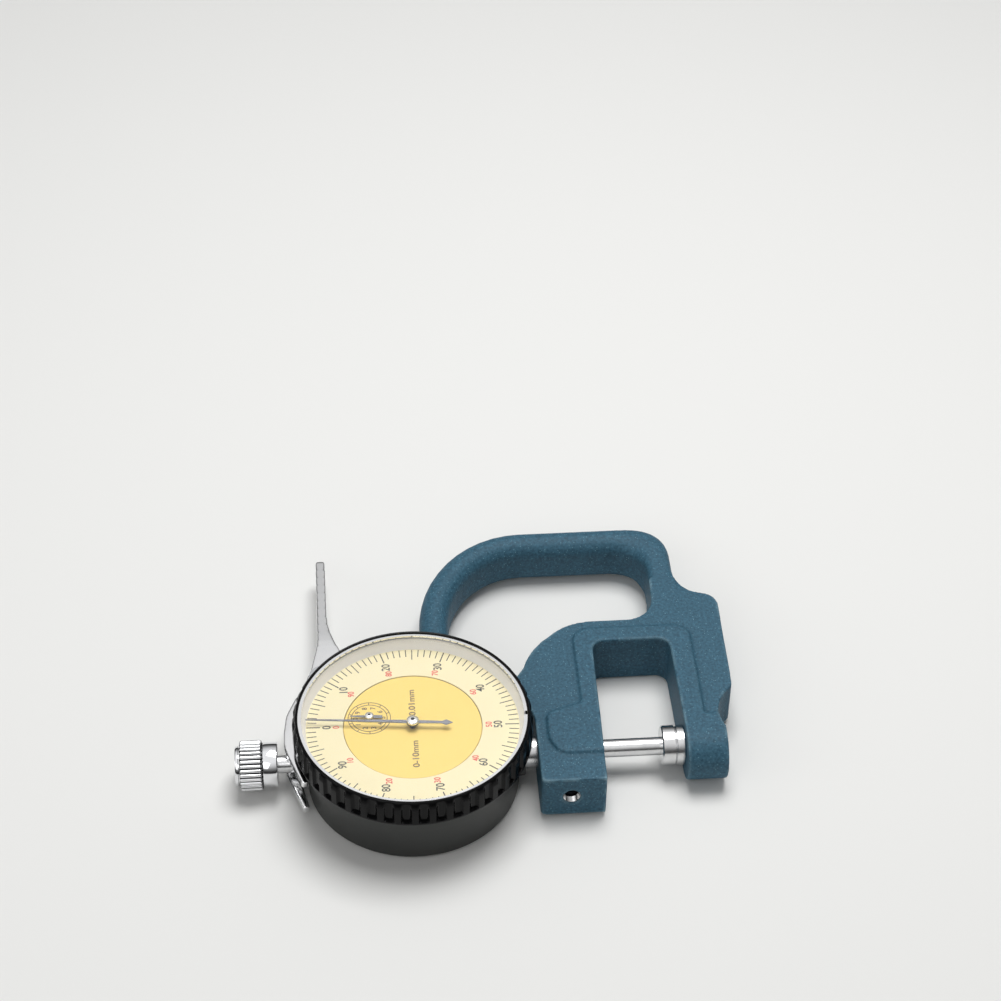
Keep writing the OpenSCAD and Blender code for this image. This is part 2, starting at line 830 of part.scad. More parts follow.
// Faces of a tube of n rings with m points each
function tube_faces(n, m) = concat(
    [[for (j = [m - 1 : -1 : 0]) j]],
    [
        for (i = [0 : n - 2])
            for (j = [0 : m - 1])
                for (f = [[i * m + j, i * m + (j + 1) % m, (i + 1) * m + (j + 1) % m],
                          [i * m + j, (i + 1) * m + (j + 1) % m, (i + 1) * m + j]])
                    f
    ],
    [[for (j = [0 : m - 1]) (n - 1) * m + j]]
);

// Spiral spring over the take-up wheel: radius at a share of its length
function hairspring_r(t) = collet_r() + 0.1 + 5 * t;
function collet_r() = 1.4;
function hairspring_z() = wheel_z + wheel_t + 0.7;
function hairspring_end() = counter + polar(hairspring_r(1) + hairspring_w + stud_r + seat, 90);

module hairspring() {
    steps = spring_turns * 24;
    function ray(i) = 90 + 360 * spring_turns * (i / steps - 1);
    color("#5b6b86")
        translate([counter[0], counter[1], hairspring_z()])
            linear_extrude(0.4)
                polygon(concat(
                    [for (i = [0 : steps]) polar(hairspring_r(i / steps), ray(i))],
                    [for (i = [steps : -1 : 0]) polar(hairspring_r(i / steps) + hairspring_w, ray(i))]
                ));
}

module hairspring_stud() {
    color("#9a9c9d")
        translate(concat(hairspring_end(), hairspring_z() - 0.2))
            cylinder(h = front_plate_top - hairspring_z() + 0.2, r = stud_r);
}

module dial_plate() {
    color("#ffd97a")
        difference() {
            union() {
                slab(inner_dial_z, inner_dial_z + inner_dial_t)
                    circle(r = inner_dial_r);
                slab(front_plate_top, inner_dial_z + 0.1)
                    difference() {
                        circle(r = dial_foot_y() + 1);
                        circle(r = dial_foot_y() - 1);
                    }
                for (s = [-1, 1])
                    translate([0, s * dial_foot_y(), front_plate_z])
                        cylinder(h = inner_dial_z - front_plate_z + 0.1, r = 0.6);
            }
            for (p = [[0, 0], counter])
                translate([p[0], p[1], front_plate_z])
                    cylinder(h = 6, r = post_r() + 0.35);
        }
}

// Lever, its bracket and pin

module lever_plan() {
    translate(pivot) {
        circle(r = hub_r);
        // thumb horn
        polygon(rounded([
            [-horn_w / 2, horn_l, 0.9],
            [-horn_w / 2, 13, 20],
            [-3.4, 2, 1],
            [-3.6, -1.5, 1],
            [3.6, -1.5, 1],
            [5.6, 7.5, 2.5],
            [horn_w / 2 + 0.2, 18.5, 30],
            [horn_w / 2, horn_l, 0.9]
        ]));
        // fork
        polygon(rounded([
            [-3.2, 2, 1],
            [-9.4, -13, 9],
            [-10.4, -22.5, 16],
            [-5.7, -prong_l, 0.4],
            [-4.1, 0.4 - prong_l, 0.4],
            [-7.1, -22.5, 12],
            [-6.6, -14, 6],
            [-4.6, -8.5, 4],
            [-0.5, -3.9, 1]
        ]));
    }
}

// Side outline of the lever: thick at the fork, thin at the thumb tip
module lever_side() {
    polygon(rounded([
        [-prong_l - 1, fork_t / 2, 0],
        [-prong_l - 1, -fork_t / 2, 0],
        [-7, -fork_t / 2, 0],
        [-5.4, -lever_t / 2, 0],
        [14, -lever_t / 2, 60],
        [horn_l + 0.5, -0.24 * lever_t, 1.5],
        [horn_l + 0.5, 0.24 * lever_t, 1.5],
        [14, lever_t / 2, 60],
        [-5.4, lever_t / 2, 0],
        [-7, fork_t / 2, 0]
    ]));
}

module lift_lever() {
    color("#d6d8da")
        difference() {
            intersection() {
                slab(spindle_z - fork_t, spindle_z + fork_t)
                    lever_plan();
                translate([pivot[0] + 30, pivot[1], spindle_z])
                    rotate([90, 0, -90])
                        mirror([1, 0, 0])
                            linear_extrude(60)
                                lever_side();
            }
            translate([pivot[0] - 20, pivot[1] - prong_l - 1, spindle_z - fork_gap / 2])
                cube([40, prong_l + 1 - fork_root, fork_gap]);
            translate([pivot[0], pivot[1], spindle_z - fork_t])
                cylinder(h = 2 * fork_t, r = lever_pin_d / 2 + run);
        }
}

module lever_bracket() {
    ear = lever_t / 2 + ear_gap;
    color("#8f9294")
        difference() {
            union() {
                for (z = [spindle_z + ear, spindle_z - ear - ear_t])
                    slab(z, z + ear_t) {
                        translate(pivot)
                            circle(r = ear_r);
                        rotate(pivot_a)
                            translate([case_r + 0.6, -ear_r])
                                square([pivot_reach - 0.6, 2 * ear_r]);
                    }
                slab(spindle_z - ear - ear_t, spindle_z + ear + ear_t)
                    intersection() {
                        difference() {
                            circle(r = case_r + bracket_t);
                            circle(r = case_r + 0.02);
                        }
                        rotate(pivot_a)
                            translate([0, -bracket_w / 2])
                                square([2 * case_r, bracket_w]);
                    }
            }
            translate([pivot[0], pivot[1], 0])
                cylinder(h = 3 * spindle_z, r = lever_pin_d / 2 + seat);
            bracket_holes(0.95);
        }
}

module bracket_screws() {
    color("#9a9c9d")
        rotate(pivot_a)
            for (y = [-bracket_screw_y, bracket_screw_y])
                translate([case_r + bracket_t, y, spindle_z])
                    rotate([0, 90, 0])
                        screw(0, 1.7, 0.8, 0.88, bracket_t + 3);
}

module lever_pin() {
    half = lever_t / 2 + ear_gap + ear_t;
    color("#a8aaab")
        translate([pivot[0], pivot[1], spindle_z - half])
            cylinder(h = 2 * half, r = lever_pin_d / 2);
}

// Spindle and what it carries

module rack_cut() {
    p = PI * module_mm;
    root_y = rack_pitch_y - 1.2 * module_mm;
    n = ceil((travel + 3) / p);
    translate([arbor_x, 0, spindle_z - 3])
        linear_extrude(6)
            for (i = [-3 : n])
                translate([i * p, 0])
                    polygon([
                        [-0.22 * p, -root_y], [0.22 * p, -root_y], [0.37 * p, -rack_tip_y],
                        [0.37 * p, -spindle_r - 1], [-0.37 * p, -spindle_r - 1], [-0.37 * p, -rack_tip_y]
                    ]);
}

module spindle() {
    p = PI * module_mm;
    color("#cfd1d2")
        difference() {
            union() {
                rod_x(collar_x, contact_x, spindle_r);
                rod_x(collar_x - spigot_l, collar_x + join, spigot_r);
                rod_x(contact_x - join, contact_x + contact_spigot_l, contact_spigot_r);
            }
            // flat that the rack is cut in
            translate([arbor_x - 3.5 * p, -rack_tip_y - 5, spindle_z - 3])
                cube([travel + 3 + 4.5 * p, 5, 6]);
            rack_cut();
            translate([guide_x, 0.3, spindle_z])
                rotate([-90, 0, 0])
                    cylinder(h = spindle_r + 1, r = guide_pin_r + seat);
        }
}

module guide_pin() {
    color("#a8aaab")
        translate([guide_x, 0.5, spindle_z])
            rotate([-90, 0, 0])
                cylinder(h = spring_y + 0.8, r = guide_pin_r);
}

module lifting_knob() {
    color("#d3d5d6")
        difference() {
            union() {
                turned_x(knurl_x - join, disc_points(collar_d / 2, collar_l + join, knob_rim));
                intersection() {
                    translate([boss_x, 0, spindle_z])
                        rotate([0, 90, 0])
                            linear_extrude(knurl_l)
                                knurl_profile();
                    turned_x(boss_x, disc_points(knurl_d / 2 + knob_rim / 2, knurl_l, knob_rim));
                }
                turned_x(boss_x - boss_l, disc_points(boss_d / 2, boss_l + join, knob_rim));
            }
            rod_x(collar_x - spigot_l - 0.2, collar_x + 1, spigot_r + seat);
        }
}

// Straight knurl: flat-topped ridges round the grip
module knurl_profile() {
    step = 360 / knurl_n;
    r = knurl_d / 2;
    polygon([
        for (i = [0 : knurl_n - 1])
            for (k = [[0.55, -0.46], [0, -0.26], [0, 0.26], [0.55, 0.46]])
                polar(r - k[0], step * (i + k[1]))
    ]);
}

// Bezel and what turns with it

module bezel() {
    run_r = rim_r + 2 * run;
    groove_r = bezel_ir + 0.8;
    color("#161616")
        difference() {
            rotate_extrude()
                polygon([
                    [run_r, bezel_z],
                    [bezel_r - 0.5, bezel_z],
                    [bezel_r, bezel_z + 0.5],
                    [bezel_r, crystal_z - 0.2],
                    [bezel_r - 0.3, crystal_z + 0.8],
                    [bezel_r - 0.9, bezel_top - 0.15],
                    [bezel_r - 1.2, bezel_top],
                    [bezel_ir + 0.4, bezel_top],
                    [bezel_ir + 0.4, lip_z],
                    [groove_r, lip_z],
                    [groove_r, snap_z],
                    [bezel_ir, snap_z],
                    [bezel_ir, ledge_z],
                    [run_r, ledge_z]
                ]);
            for (a = screw_angles(bezel_flutes, 0))
                translate(concat(polar(bezel_r + flute_r - flute_depth, a), bezel_z + flute_foot))
                    cylinder(h = bezel_top - bezel_z, r = flute_r);
        }
}

module scale_ring() {
    color("#fdf3c8")
        slab(ledge_z, scale_top)
            difference() {
                circle(r = bezel_ir - 0.05);
                circle(r = inner_dial_r + 0.2);
            }
}

module reflector_ring() {
    color("#f4efe4")
        rotate_extrude()
            polygon([
                [bezel_ir - 0.3 - reflector_w, scale_top],
                [bezel_ir - 0.05, scale_top],
                [bezel_ir - 0.05, crystal_z],
                [bezel_ir - 0.3, crystal_z]
            ]);
}

module crystal() {
    color([0.9, 0.95, 0.97, 0.3])
        translate([0, 0, crystal_z])
            cylinder(h = crystal_t, r = bezel_ir - 0.05);
}

module crystal_snap_ring() {
    outer = bezel_ir + 0.75;
    color("#d9dbdc")
        difference() {
            slab(snap_z, snap_z + snap_t)
                difference() {
                    circle(r = outer);
                    circle(r = outer - snap_w);
                }
            rotate(snap_split_a)
                translate([outer - 2 * snap_w, -0.6, snap_z - 1])
                    cube([4 * snap_w, 1.2, snap_t + 2]);
        }
}

// Gear train and hands

module rack_arbor() {
    color("#b9bbbc")
        translate(arbor) {
            translate([0, 0, bridge_z])
                cylinder(h = front_plate_top - bridge_z, r = pivot_r);
            translate([0, 0, bridge_z + bridge_t + 0.1])
                cylinder(h = front_plate_z - bridge_z - bridge_t - 0.2, r = arbor_r);
            translate([0, 0, spindle_z - 1])
                linear_extrude(2)
                    gear_profile(rack_teeth, 0.75, -1.2, 0.10, 0.19, 0.26, 90);
        }
}

// Large wheel with round lightening holes
module wheel(first_gap_a) {
    difference() {
        gear_profile(wheel_teeth, 0.75, -1.2, 0.12, 0.20, 0.30, first_gap_a + 180 / wheel_teeth);
        circle(r = arbor_r + seat);
        for (a = screw_angles(5, 0))
            translate(polar(0.56 * module_mm * wheel_teeth / 2, a))
                circle(r = 0.26 * module_mm * wheel_teeth / 2);
    }
}

module first_wheel() {
    color("#cda950")
        translate(arbor)
            slab(wheel_z, wheel_z + wheel_t)
                wheel(mesh_a + 180);
}

module centre_arbor() {
    color("#b9bbbc") {
        translate([0, 0, rear_plate_z + 0.1])
            cylinder(h = 2, r = pivot_r);
        translate([0, 0, rear_plate_top + 0.1])
            cylinder(h = plate_space - 0.2, r = 0.65);
        translate([0, 0, front_plate_z - 1])
            cylinder(h = large_hand_z + 0.7 - front_plate_z + 1, r = post_r());
        slab(wheel_z - 0.4, wheel_z + wheel_t + 0.4)
            gear_profile(pinion_teeth, 0.75, -1.25, 0.08, 0.17, 0.14, mesh_a);
    }
}

module counter_arbor() {
    color("#b9bbbc")
        translate(counter) {
            translate([0, 0, rear_plate_z + 0.1])
                cylinder(h = 2, r = pivot_r);
            translate([0, 0, rear_plate_top + 0.1])
                cylinder(h = plate_space - 0.2, r = arbor_r);
            translate([0, 0, hairspring_z() - 0.2])
                cylinder(h = 0.8, r = collet_r());
            translate([0, 0, front_plate_z - 1])
                cylinder(h = small_hand_z + 0.6 - front_plate_z + 1, r = post_r());
        }
}

module takeup_wheel() {
    color("#cda950")
        translate(counter)
            slab(wheel_z, wheel_z + wheel_t)
                wheel(mesh_a);
}

module large_hand() {
    color("#3f4750")
        rotate(180 - hand_a) {
            difference() {
                slab(large_hand_z, large_hand_z + 0.2) {
                    polygon([
                        [large_hand_l, 0.13], [large_hand_l, -0.13], [1, -0.5],
                        [-large_hand_tail + 2.6, -0.35], [-large_hand_tail + 1.6, -0.85], [-large_hand_tail, 0],
                        [-large_hand_tail + 1.6, 0.85], [-large_hand_tail + 2.6, 0.35], [1, 0.5]
                    ]);
                    circle(r = 1.6);
                }
                translate([0, 0, large_hand_z - 1])
                    cylinder(h = 3, r = post_r() + seat);
            }
            difference() {
                translate([0, 0, large_hand_z - 0.4])
                    cylinder(h = 1, r = 1.1);
                translate([0, 0, large_hand_z - 1])
                    cylinder(h = 3, r = post_r() + seat);
            }
        }
}

module small_hand() {
    color("#3f4750")
        translate(counter)
            rotate(180 - hand_a)
                difference() {
                    union() {
                        slab(small_hand_z + 0.1, small_hand_z + 0.25) {
                            polygon([
                                [small_hand_l, 0.1], [small_hand_l, -0.1], [0.6, -0.4],
                                [-3.2, -0.45], [-3.2, 0.45], [0.6, 0.4]
                            ]);
                            circle(r = 1.1);
                        }
                        translate([0, 0, small_hand_z])
                            cylinder(h = 0.55, r = 0.9);
                    }
                    translate([0, 0, small_hand_z - 1])
                        cylinder(h = 3, r = post_r() + seat);
                }
}

frame();
anvil();
stem_set_screw();
stem();
case();
top_bush();
back_cover();
back_cover_screws();
rear_plate();
movement_screws();
plate_pillars();
front_plate();
plate_screws();
lower_bridge();
bridge_screws();
guide_rail();
spring_post_pin();
return_spring();
hairspring_stud();
hairspring();
dial_plate();
lever_bracket();
bracket_screws();
lever_pin();
lift_lever();
spindle();
guide_pin();
contact_disc();
lifting_knob();
bezel();
scale_ring();
reflector_ring();
crystal();
crystal_snap_ring();
rack_arbor();
first_wheel();
centre_arbor();
large_hand();
counter_arbor();
takeup_wheel();
small_hand();
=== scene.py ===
# Dial thickness gauge with a thumb lever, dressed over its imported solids.
# Everything is in metres, in the frame of the solids: the dial axis is Z, the spindle runs along X.

import math

import bpy
from mathutils import Matrix, Vector


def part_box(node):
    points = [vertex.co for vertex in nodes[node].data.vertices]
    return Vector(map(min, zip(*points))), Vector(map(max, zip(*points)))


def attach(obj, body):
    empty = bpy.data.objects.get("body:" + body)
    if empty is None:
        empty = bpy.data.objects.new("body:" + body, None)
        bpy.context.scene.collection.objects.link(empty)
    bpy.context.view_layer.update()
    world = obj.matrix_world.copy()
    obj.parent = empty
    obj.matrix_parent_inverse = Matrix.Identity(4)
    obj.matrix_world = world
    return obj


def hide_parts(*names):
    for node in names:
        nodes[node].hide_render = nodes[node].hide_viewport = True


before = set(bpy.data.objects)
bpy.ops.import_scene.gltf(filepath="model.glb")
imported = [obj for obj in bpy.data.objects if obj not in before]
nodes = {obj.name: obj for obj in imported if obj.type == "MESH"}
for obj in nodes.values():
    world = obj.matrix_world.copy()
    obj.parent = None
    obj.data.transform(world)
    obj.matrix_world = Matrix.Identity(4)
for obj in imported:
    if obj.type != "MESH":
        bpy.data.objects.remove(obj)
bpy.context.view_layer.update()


# Casting: one alloy casting with clamp block, throat, arm, lug and finger handle. It is sprayed with a matt
# blue-grey paint over the sandy skin that the mould leaves. Its edges are rounded like the mould's, the
# paint is rubbed pale on them, and shade is painted darker into its creases and hollows.

MM = 0.001


def tint(red, green, blue):
    """A colour given as screen values from 0 to 255, in the linear form that the shader takes."""
    levels = [c / 255 for c in (red, green, blue)]
    return tuple(c / 12.92 if c < 0.04 else ((c + 0.055) / 1.055) ** 2.4 for c in levels) + (1.0,)


def new_finish(name, colour, roughness, metallic=0.0):
    """A material with one Principled skin; returns both."""
    mat = bpy.data.materials.new(name)
    mat.use_nodes = True
    skin = mat.node_tree.nodes["Principled BSDF"]
    skin.inputs["Base Color"].default_value = colour
    skin.inputs["Roughness"].default_value = roughness
    skin.inputs["Metallic"].default_value = metallic
    return mat, skin


def new_effect(name, inputs, outputs):
    """An empty effect group with number sockets; returns the tree and its two end nodes."""
    tree = bpy.data.node_groups.new(name, "ShaderNodeTree")
    for socket, value in inputs.items():
        made = tree.interface.new_socket(socket, in_out="INPUT", socket_type="NodeSocketFloat")
        made.default_value = value
    for socket in outputs:
        tree.interface.new_socket(socket, in_out="OUTPUT", socket_type="NodeSocketFloat")
    return tree, tree.nodes.new("NodeGroupInput"), tree.nodes.new("NodeGroupOutput")


def place_effect(mat, effect, **values):
    """Puts an effect group into a material with its own values."""
    placed = mat.node_tree.nodes.new("ShaderNodeGroup")
    placed.node_tree = effect
    for socket, value in values.items():
        placed.inputs[socket].default_value = value
    return placed


def math_node(tree, operation, first, second=0.0):
    """One sum on two values or sockets."""
    step = tree.nodes.new("ShaderNodeMath")
    step.operation = operation
    for socket, value in zip(step.inputs, (first, second)):
        if isinstance(value, (int, float)):
            socket.default_value = value
        else:
            tree.links.new(value, socket)
    return step.outputs[0]


def mix_colours(mat, mask, first, second):
    """A colour that goes from first to second with a mask; both may be sockets."""
    mix = mat.node_tree.nodes.new("ShaderNodeMix")
    mix.data_type = "RGBA"
    mat.node_tree.links.new(mask, mix.inputs[0])
    for colour, socket in ((first, mix.inputs[6]), (second, mix.inputs[7])):
        if isinstance(colour, tuple):
            socket.default_value = colour
        else:
            mat.node_tree.links.new(colour, socket)
    return mix.outputs[2]


def spread(mat, mask, low, high, first=0.0, last=1.0):
    """A mask that runs from first to last, spread between two values."""
    span = mat.node_tree.nodes.new("ShaderNodeMapRange")
    span.inputs["From Min"].default_value = first
    span.inputs["From Max"].default_value = last
    span.inputs["To Min"].default_value = low
    span.inputs["To Max"].default_value = high
    mat.node_tree.links.new(mask, span.inputs["Value"])
    return span.outputs["Result"]


def vary_gloss(mat, skin, mask, low, high):
    """Lets the skin's roughness wander between two values with a mask."""
    mat.node_tree.links.new(spread(mat, mask, low, high), skin.inputs["Roughness"])


def roughen(mat, skin, height, strength, depth):
    """A bump from a height into the skin's normal."""
    bump = mat.node_tree.nodes.new("ShaderNodeBump")
    bump.inputs["Strength"].default_value = strength
    bump.inputs["Distance"].default_value = depth
    mat.node_tree.links.new(height, bump.inputs["Height"])
    mat.node_tree.links.new(bump.outputs["Normal"], skin.inputs["Normal"])


# sand grain: a fine uneven height, and a few bright specks of grit that stand in the paint
SPECK_RARE, SPECK_SIZE = 0.9, 0.30

sand_grain, sand_in, sand_out = new_effect(
    "sand_grain", {"Grain": 1500.0, "Grit": 2300.0}, ["Height", "Speck"],
)
sand_at = sand_grain.nodes.new("ShaderNodeTexCoord")
sand_noise = sand_grain.nodes.new("ShaderNodeTexNoise")
sand_noise.inputs["Detail"].default_value = 4.0
sand_noise.inputs["Roughness"].default_value = 0.65
sand_cells = sand_grain.nodes.new("ShaderNodeTexVoronoi")
sand_pick = sand_grain.nodes.new("ShaderNodeSeparateColor")
sand_grain.links.new(sand_at.outputs["Object"], sand_noise.inputs["Vector"])
sand_grain.links.new(sand_at.outputs["Object"], sand_cells.inputs["Vector"])
sand_grain.links.new(sand_in.outputs["Grain"], sand_noise.inputs["Scale"])
sand_grain.links.new(sand_in.outputs["Grit"], sand_cells.inputs["Scale"])
sand_grain.links.new(sand_cells.outputs["Color"], sand_pick.inputs["Color"])
sand_few = math_node(sand_grain, "GREATER_THAN", sand_pick.outputs["Red"], SPECK_RARE)
sand_small = math_node(sand_grain, "LESS_THAN", sand_cells.outputs["Distance"], SPECK_SIZE)
sand_grain.links.new(sand_noise.outputs["Fac"], sand_out.inputs["Height"])
sand_grain.links.new(math_node(sand_grain, "MULTIPLY", sand_few, sand_small), sand_out.inputs["Speck"])

# handling marks: soft patches where a surface is a little duller or darker
handling, handling_in, handling_out = new_effect("handling_marks", {"Patch": 120.0}, ["Mask"])
handling_at = handling.nodes.new("ShaderNodeTexCoord")
handling_noise = handling.nodes.new("ShaderNodeTexNoise")
handling_noise.inputs["Detail"].default_value = 5.0
handling.links.new(handling_at.outputs["Object"], handling_noise.inputs["Vector"])
handling.links.new(handling_in.outputs["Patch"], handling_noise.inputs["Scale"])
handling.links.new(handling_noise.outputs["Fac"], handling_out.inputs["Mask"])

# paint: mottled by the grain, duller in patches, painted shade in sharp and wide hollows, pale on rubbed
# edges
HOLLOW_SHADE_REACH, EDGE_REACH = 2.0 * MM, 0.9 * MM
PROBE_RAYS = 8


def openness(mat, reach, inside):
    """How free a point is within reach; looked at from inside the solid, it falls along the edges."""
    probe = mat.node_tree.nodes.new("ShaderNodeAmbientOcclusion")
    probe.inside = inside
    probe.only_local = True
    probe.samples = PROBE_RAYS
    probe.inputs["Distance"].default_value = reach
    return probe.outputs["AO"]


paint, paint_skin = new_finish("frame_paint", tint(50, 88, 106), 0.6)
paint_skin.inputs["Specular IOR Level"].default_value = 0.32
paint_sand = place_effect(paint, sand_grain)
paint_patches = place_effect(paint, handling, Patch=260.0)
paint_crease_shade = paint.node_tree.nodes.new("ShaderNodeNewGeometry").outputs["Pointiness"]
paint_rubbed = math_node(
    paint.node_tree, "MULTIPLY",
    spread(paint, openness(paint, EDGE_REACH, True), 0.0, 0.9, 0.92, 0.62),
    spread(paint, paint_patches.outputs["Mask"], 0.0, 1.0, 0.36, 0.6),
)
paint_colour = mix_colours(
    paint, spread(paint, paint_sand.outputs["Height"], -1.0, 2.0), tint(33, 68, 86), tint(63, 106, 127),
)
for paint_mask, paint_tint in (
    (spread(paint, paint_patches.outputs["Mask"], -0.2, 0.5), tint(42, 80, 98)),
    (paint_sand.outputs["Speck"], tint(98, 138, 154)),
    # painted shade: darker in sharp creases and in the wide hollows at the foot of the steps
    (spread(paint, paint_crease_shade, 0.0, 0.7, 0.48, 0.42), tint(16, 36, 46)),
    (spread(paint, openness(paint, HOLLOW_SHADE_REACH, False), 0.0, 0.55, 0.97, 0.75), tint(24, 50, 62)),
    (paint_rubbed, tint(136, 168, 180)),
):
    paint_colour = mix_colours(paint, paint_mask, paint_colour, paint_tint)
paint.node_tree.links.new(paint_colour, paint_skin.inputs["Base Color"])
vary_gloss(paint, paint_skin, paint_sand.outputs["Height"], 0.5, 0.72)
roughen(paint, paint_skin, paint_sand.outputs["Height"], 0.7, 0.16 * MM)

# forms of the casting: heights of its sunk panels, then the places and radii of its round forms
PANEL_LOW, PANEL_TOP = 1.0 * MM, 13.4 * MM
WAIST_AT, WAIST_R = (87.2 * MM, 4.3 * MM), 11.4 * MM
SHOULDER_AT, SHOULDER_R = (49.4 * MM, 16.75 * MM), 21.5 * MM
FLANK_AT, FLANK_OUT = (33.8 * MM, 28.6 * MM, 0.0), (-0.83, 0.56, 0.0)
NECK_AT, NECK_R = (80.3 * MM, 56.2 * MM), 9.6 * MM
GUSSET_X, GUSSET_Y = (70.2 * MM, 77.6 * MM), (46.5 * MM, 56.0 * MM)
GUSSET_EDGE = 0.3 * MM
BEND_AT, BEND_INNER, BEND_OUTER = (58.1 * MM, 60.9 * MM), 6.0 * MM, 13.0 * MM
BEND_PUSH = 1.4 * MM
ROUND_AT, ROUND_R = (55.2 * MM, 57.5 * MM), 9.0 * MM
ROUND_MORE, ROUND_FADE = 3.0 * MM, 6.0 * MM
DRUM_SIDES = 160
DRUM_SPARE = 5 * MM
WELD = 0.001 * MM
CAST_GRAIN = 0.38 * MM
CAST_PASSES = 4


def take(piece):
    """Selects one piece and makes it the active one."""
    bpy.ops.object.select_all(action="DESELECT")
    piece.select_set(True)
    bpy.context.view_layer.objects.active = piece


def upright_drum(radius, low, high, x, y):
    """A plain drum that stands upright, to weld to the casting or to cut from it."""
    bpy.ops.object.select_all(action="DESELECT")
    bpy.ops.mesh.primitive_cylinder_add(
        vertices=DRUM_SIDES, radius=radius, depth=high - low, location=(x, y, (low + high) / 2),
    )
    bpy.ops.object.transform_apply(location=True, rotation=True, scale=True)
    return bpy.context.object


def cut_away(piece, radius, x, y):
    """Cuts an upright drum right through a piece."""
    cutter = upright_drum(radius, PANEL_LOW - DRUM_SPARE, PANEL_TOP + DRUM_SPARE, x, y)
    cut = piece.modifiers.new("cut", "BOOLEAN")
    cut.operation = "DIFFERENCE"
    cut.object = cutter
    take(piece)
    bpy.ops.object.modifier_apply(modifier="cut")
    bpy.data.objects.remove(cutter)


def held(share):
    """A share held between nought and one."""
    return min(max(share, 0.0), 1.0)


casting = bpy.data.objects.new("frame_casting", nodes["frame"].data.copy())
bpy.context.collection.objects.link(casting)
take(casting)
bpy.ops.object.mode_set(mode="EDIT")
bpy.ops.mesh.select_all(action="SELECT")
bpy.ops.mesh.remove_doubles(threshold=WELD)
bpy.ops.object.mode_set(mode="OBJECT")

# the waist between arm and lug is scooped out
cut_away(casting, WAIST_R, *WAIST_AT)

# the shoulder beside the dial is rounded: a slice of a drum, welded to the flank
shoulder = upright_drum(SHOULDER_R, PANEL_LOW, PANEL_TOP, *SHOULDER_AT)
bpy.ops.object.mode_set(mode="EDIT")
bpy.ops.mesh.select_all(action="SELECT")
bpy.ops.mesh.bisect(plane_co=FLANK_AT, plane_no=FLANK_OUT, use_fill=True, clear_inner=True)
bpy.ops.object.mode_set(mode="OBJECT")

# a gusset fills the neck, so that the handle's root runs into the arm in one hollow curve
gusset_low = Vector((GUSSET_X[0], GUSSET_Y[0], PANEL_LOW + GUSSET_EDGE))
gusset_high = Vector((GUSSET_X[1], GUSSET_Y[1], PANEL_TOP - GUSSET_EDGE))
bpy.ops.object.select_all(action="DESELECT")
bpy.ops.mesh.primitive_cube_add(
    size=1, location=(gusset_low + gusset_high) / 2, scale=gusset_high - gusset_low,
)
bpy.ops.object.transform_apply(location=True, rotation=True, scale=True)
gusset = bpy.context.object
cut_away(gusset, NECK_R, *NECK_AT)

take(casting)
for welded in (shoulder, gusset):
    welded.select_set(True)
bpy.ops.object.join()

cast_skin = casting.modifiers.new("cast_skin", "REMESH")
cast_skin.mode = "VOXEL"
cast_skin.voxel_size = CAST_GRAIN
cast_skin.use_smooth_shade = True
cast_rounding = casting.modifiers.new("cast_rounding", "SMOOTH")
cast_rounding.factor = 0.5
cast_rounding.iterations = CAST_PASSES
for modifier in ("cast_skin", "cast_rounding"):
    bpy.ops.object.modifier_apply(modifier=modifier)

# the handle's outer corner is drawn out, fuller than a plain bend
for vertex in casting.data.vertices:
    spoke = vertex.co.xy - Vector(BEND_AT)
    if spoke.x > 0 and spoke.y > 0:
        share = held((spoke.length - BEND_INNER) / (BEND_OUTER - BEND_INNER))
        push = BEND_PUSH * share * math.sin(2 * math.atan2(spoke.y, spoke.x)) ** 2
        vertex.co.xy = vertex.co.xy + push * spoke.normalized()

# inside the bend the finger space ends in a rounder curve, and the filling fades towards the outer corner
for vertex in casting.data.vertices:
    spoke = vertex.co.xy - Vector(ROUND_AT)
    if spoke.x > 0 and spoke.y > 0:
        past = Vector((max(spoke.x - ROUND_MORE, 0.0), max(spoke.y - ROUND_MORE, 0.0)))
        depth = past.length - (ROUND_R - ROUND_MORE)
        fill = (spoke.length - ROUND_R - depth) * held(1.0 - depth / ROUND_FADE)
        vertex.co.xy = vertex.co.xy - fill * spoke.normalized()

casting.data.materials.clear()
casting.data.materials.append(paint)
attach(casting, "gauge_body")
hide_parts("frame")


# Spindle, measuring discs, stem and bush: hardened steel, turned and then ground. The lathe and the wheel
# leave fine rings round the rod and on the flat faces of the discs.

SPINDLE_Z = 7.2 * MM


def spindle_radius(tree, xyz):
    """Distance of a point from the spindle's axis."""
    above = math_node(tree, "SUBTRACT", xyz.outputs["Z"], SPINDLE_Z)
    square = math_node(
        tree, "ADD",
        math_node(tree, "MULTIPLY", xyz.outputs["Y"], xyz.outputs["Y"]),
        math_node(tree, "MULTIPLY", above, above),
    )
    return math_node(tree, "SQRT", square)


def mottle(mat, skin, mask, dark, light):
    """Lets the skin's colour wander between two tints with a mask."""
    mat.node_tree.links.new(mix_colours(mat, mask, dark, light), skin.inputs["Base Color"])


def dress(finish, *names):
    """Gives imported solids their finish."""
    for name in names:
        nodes[name].material_slots[0].material = finish


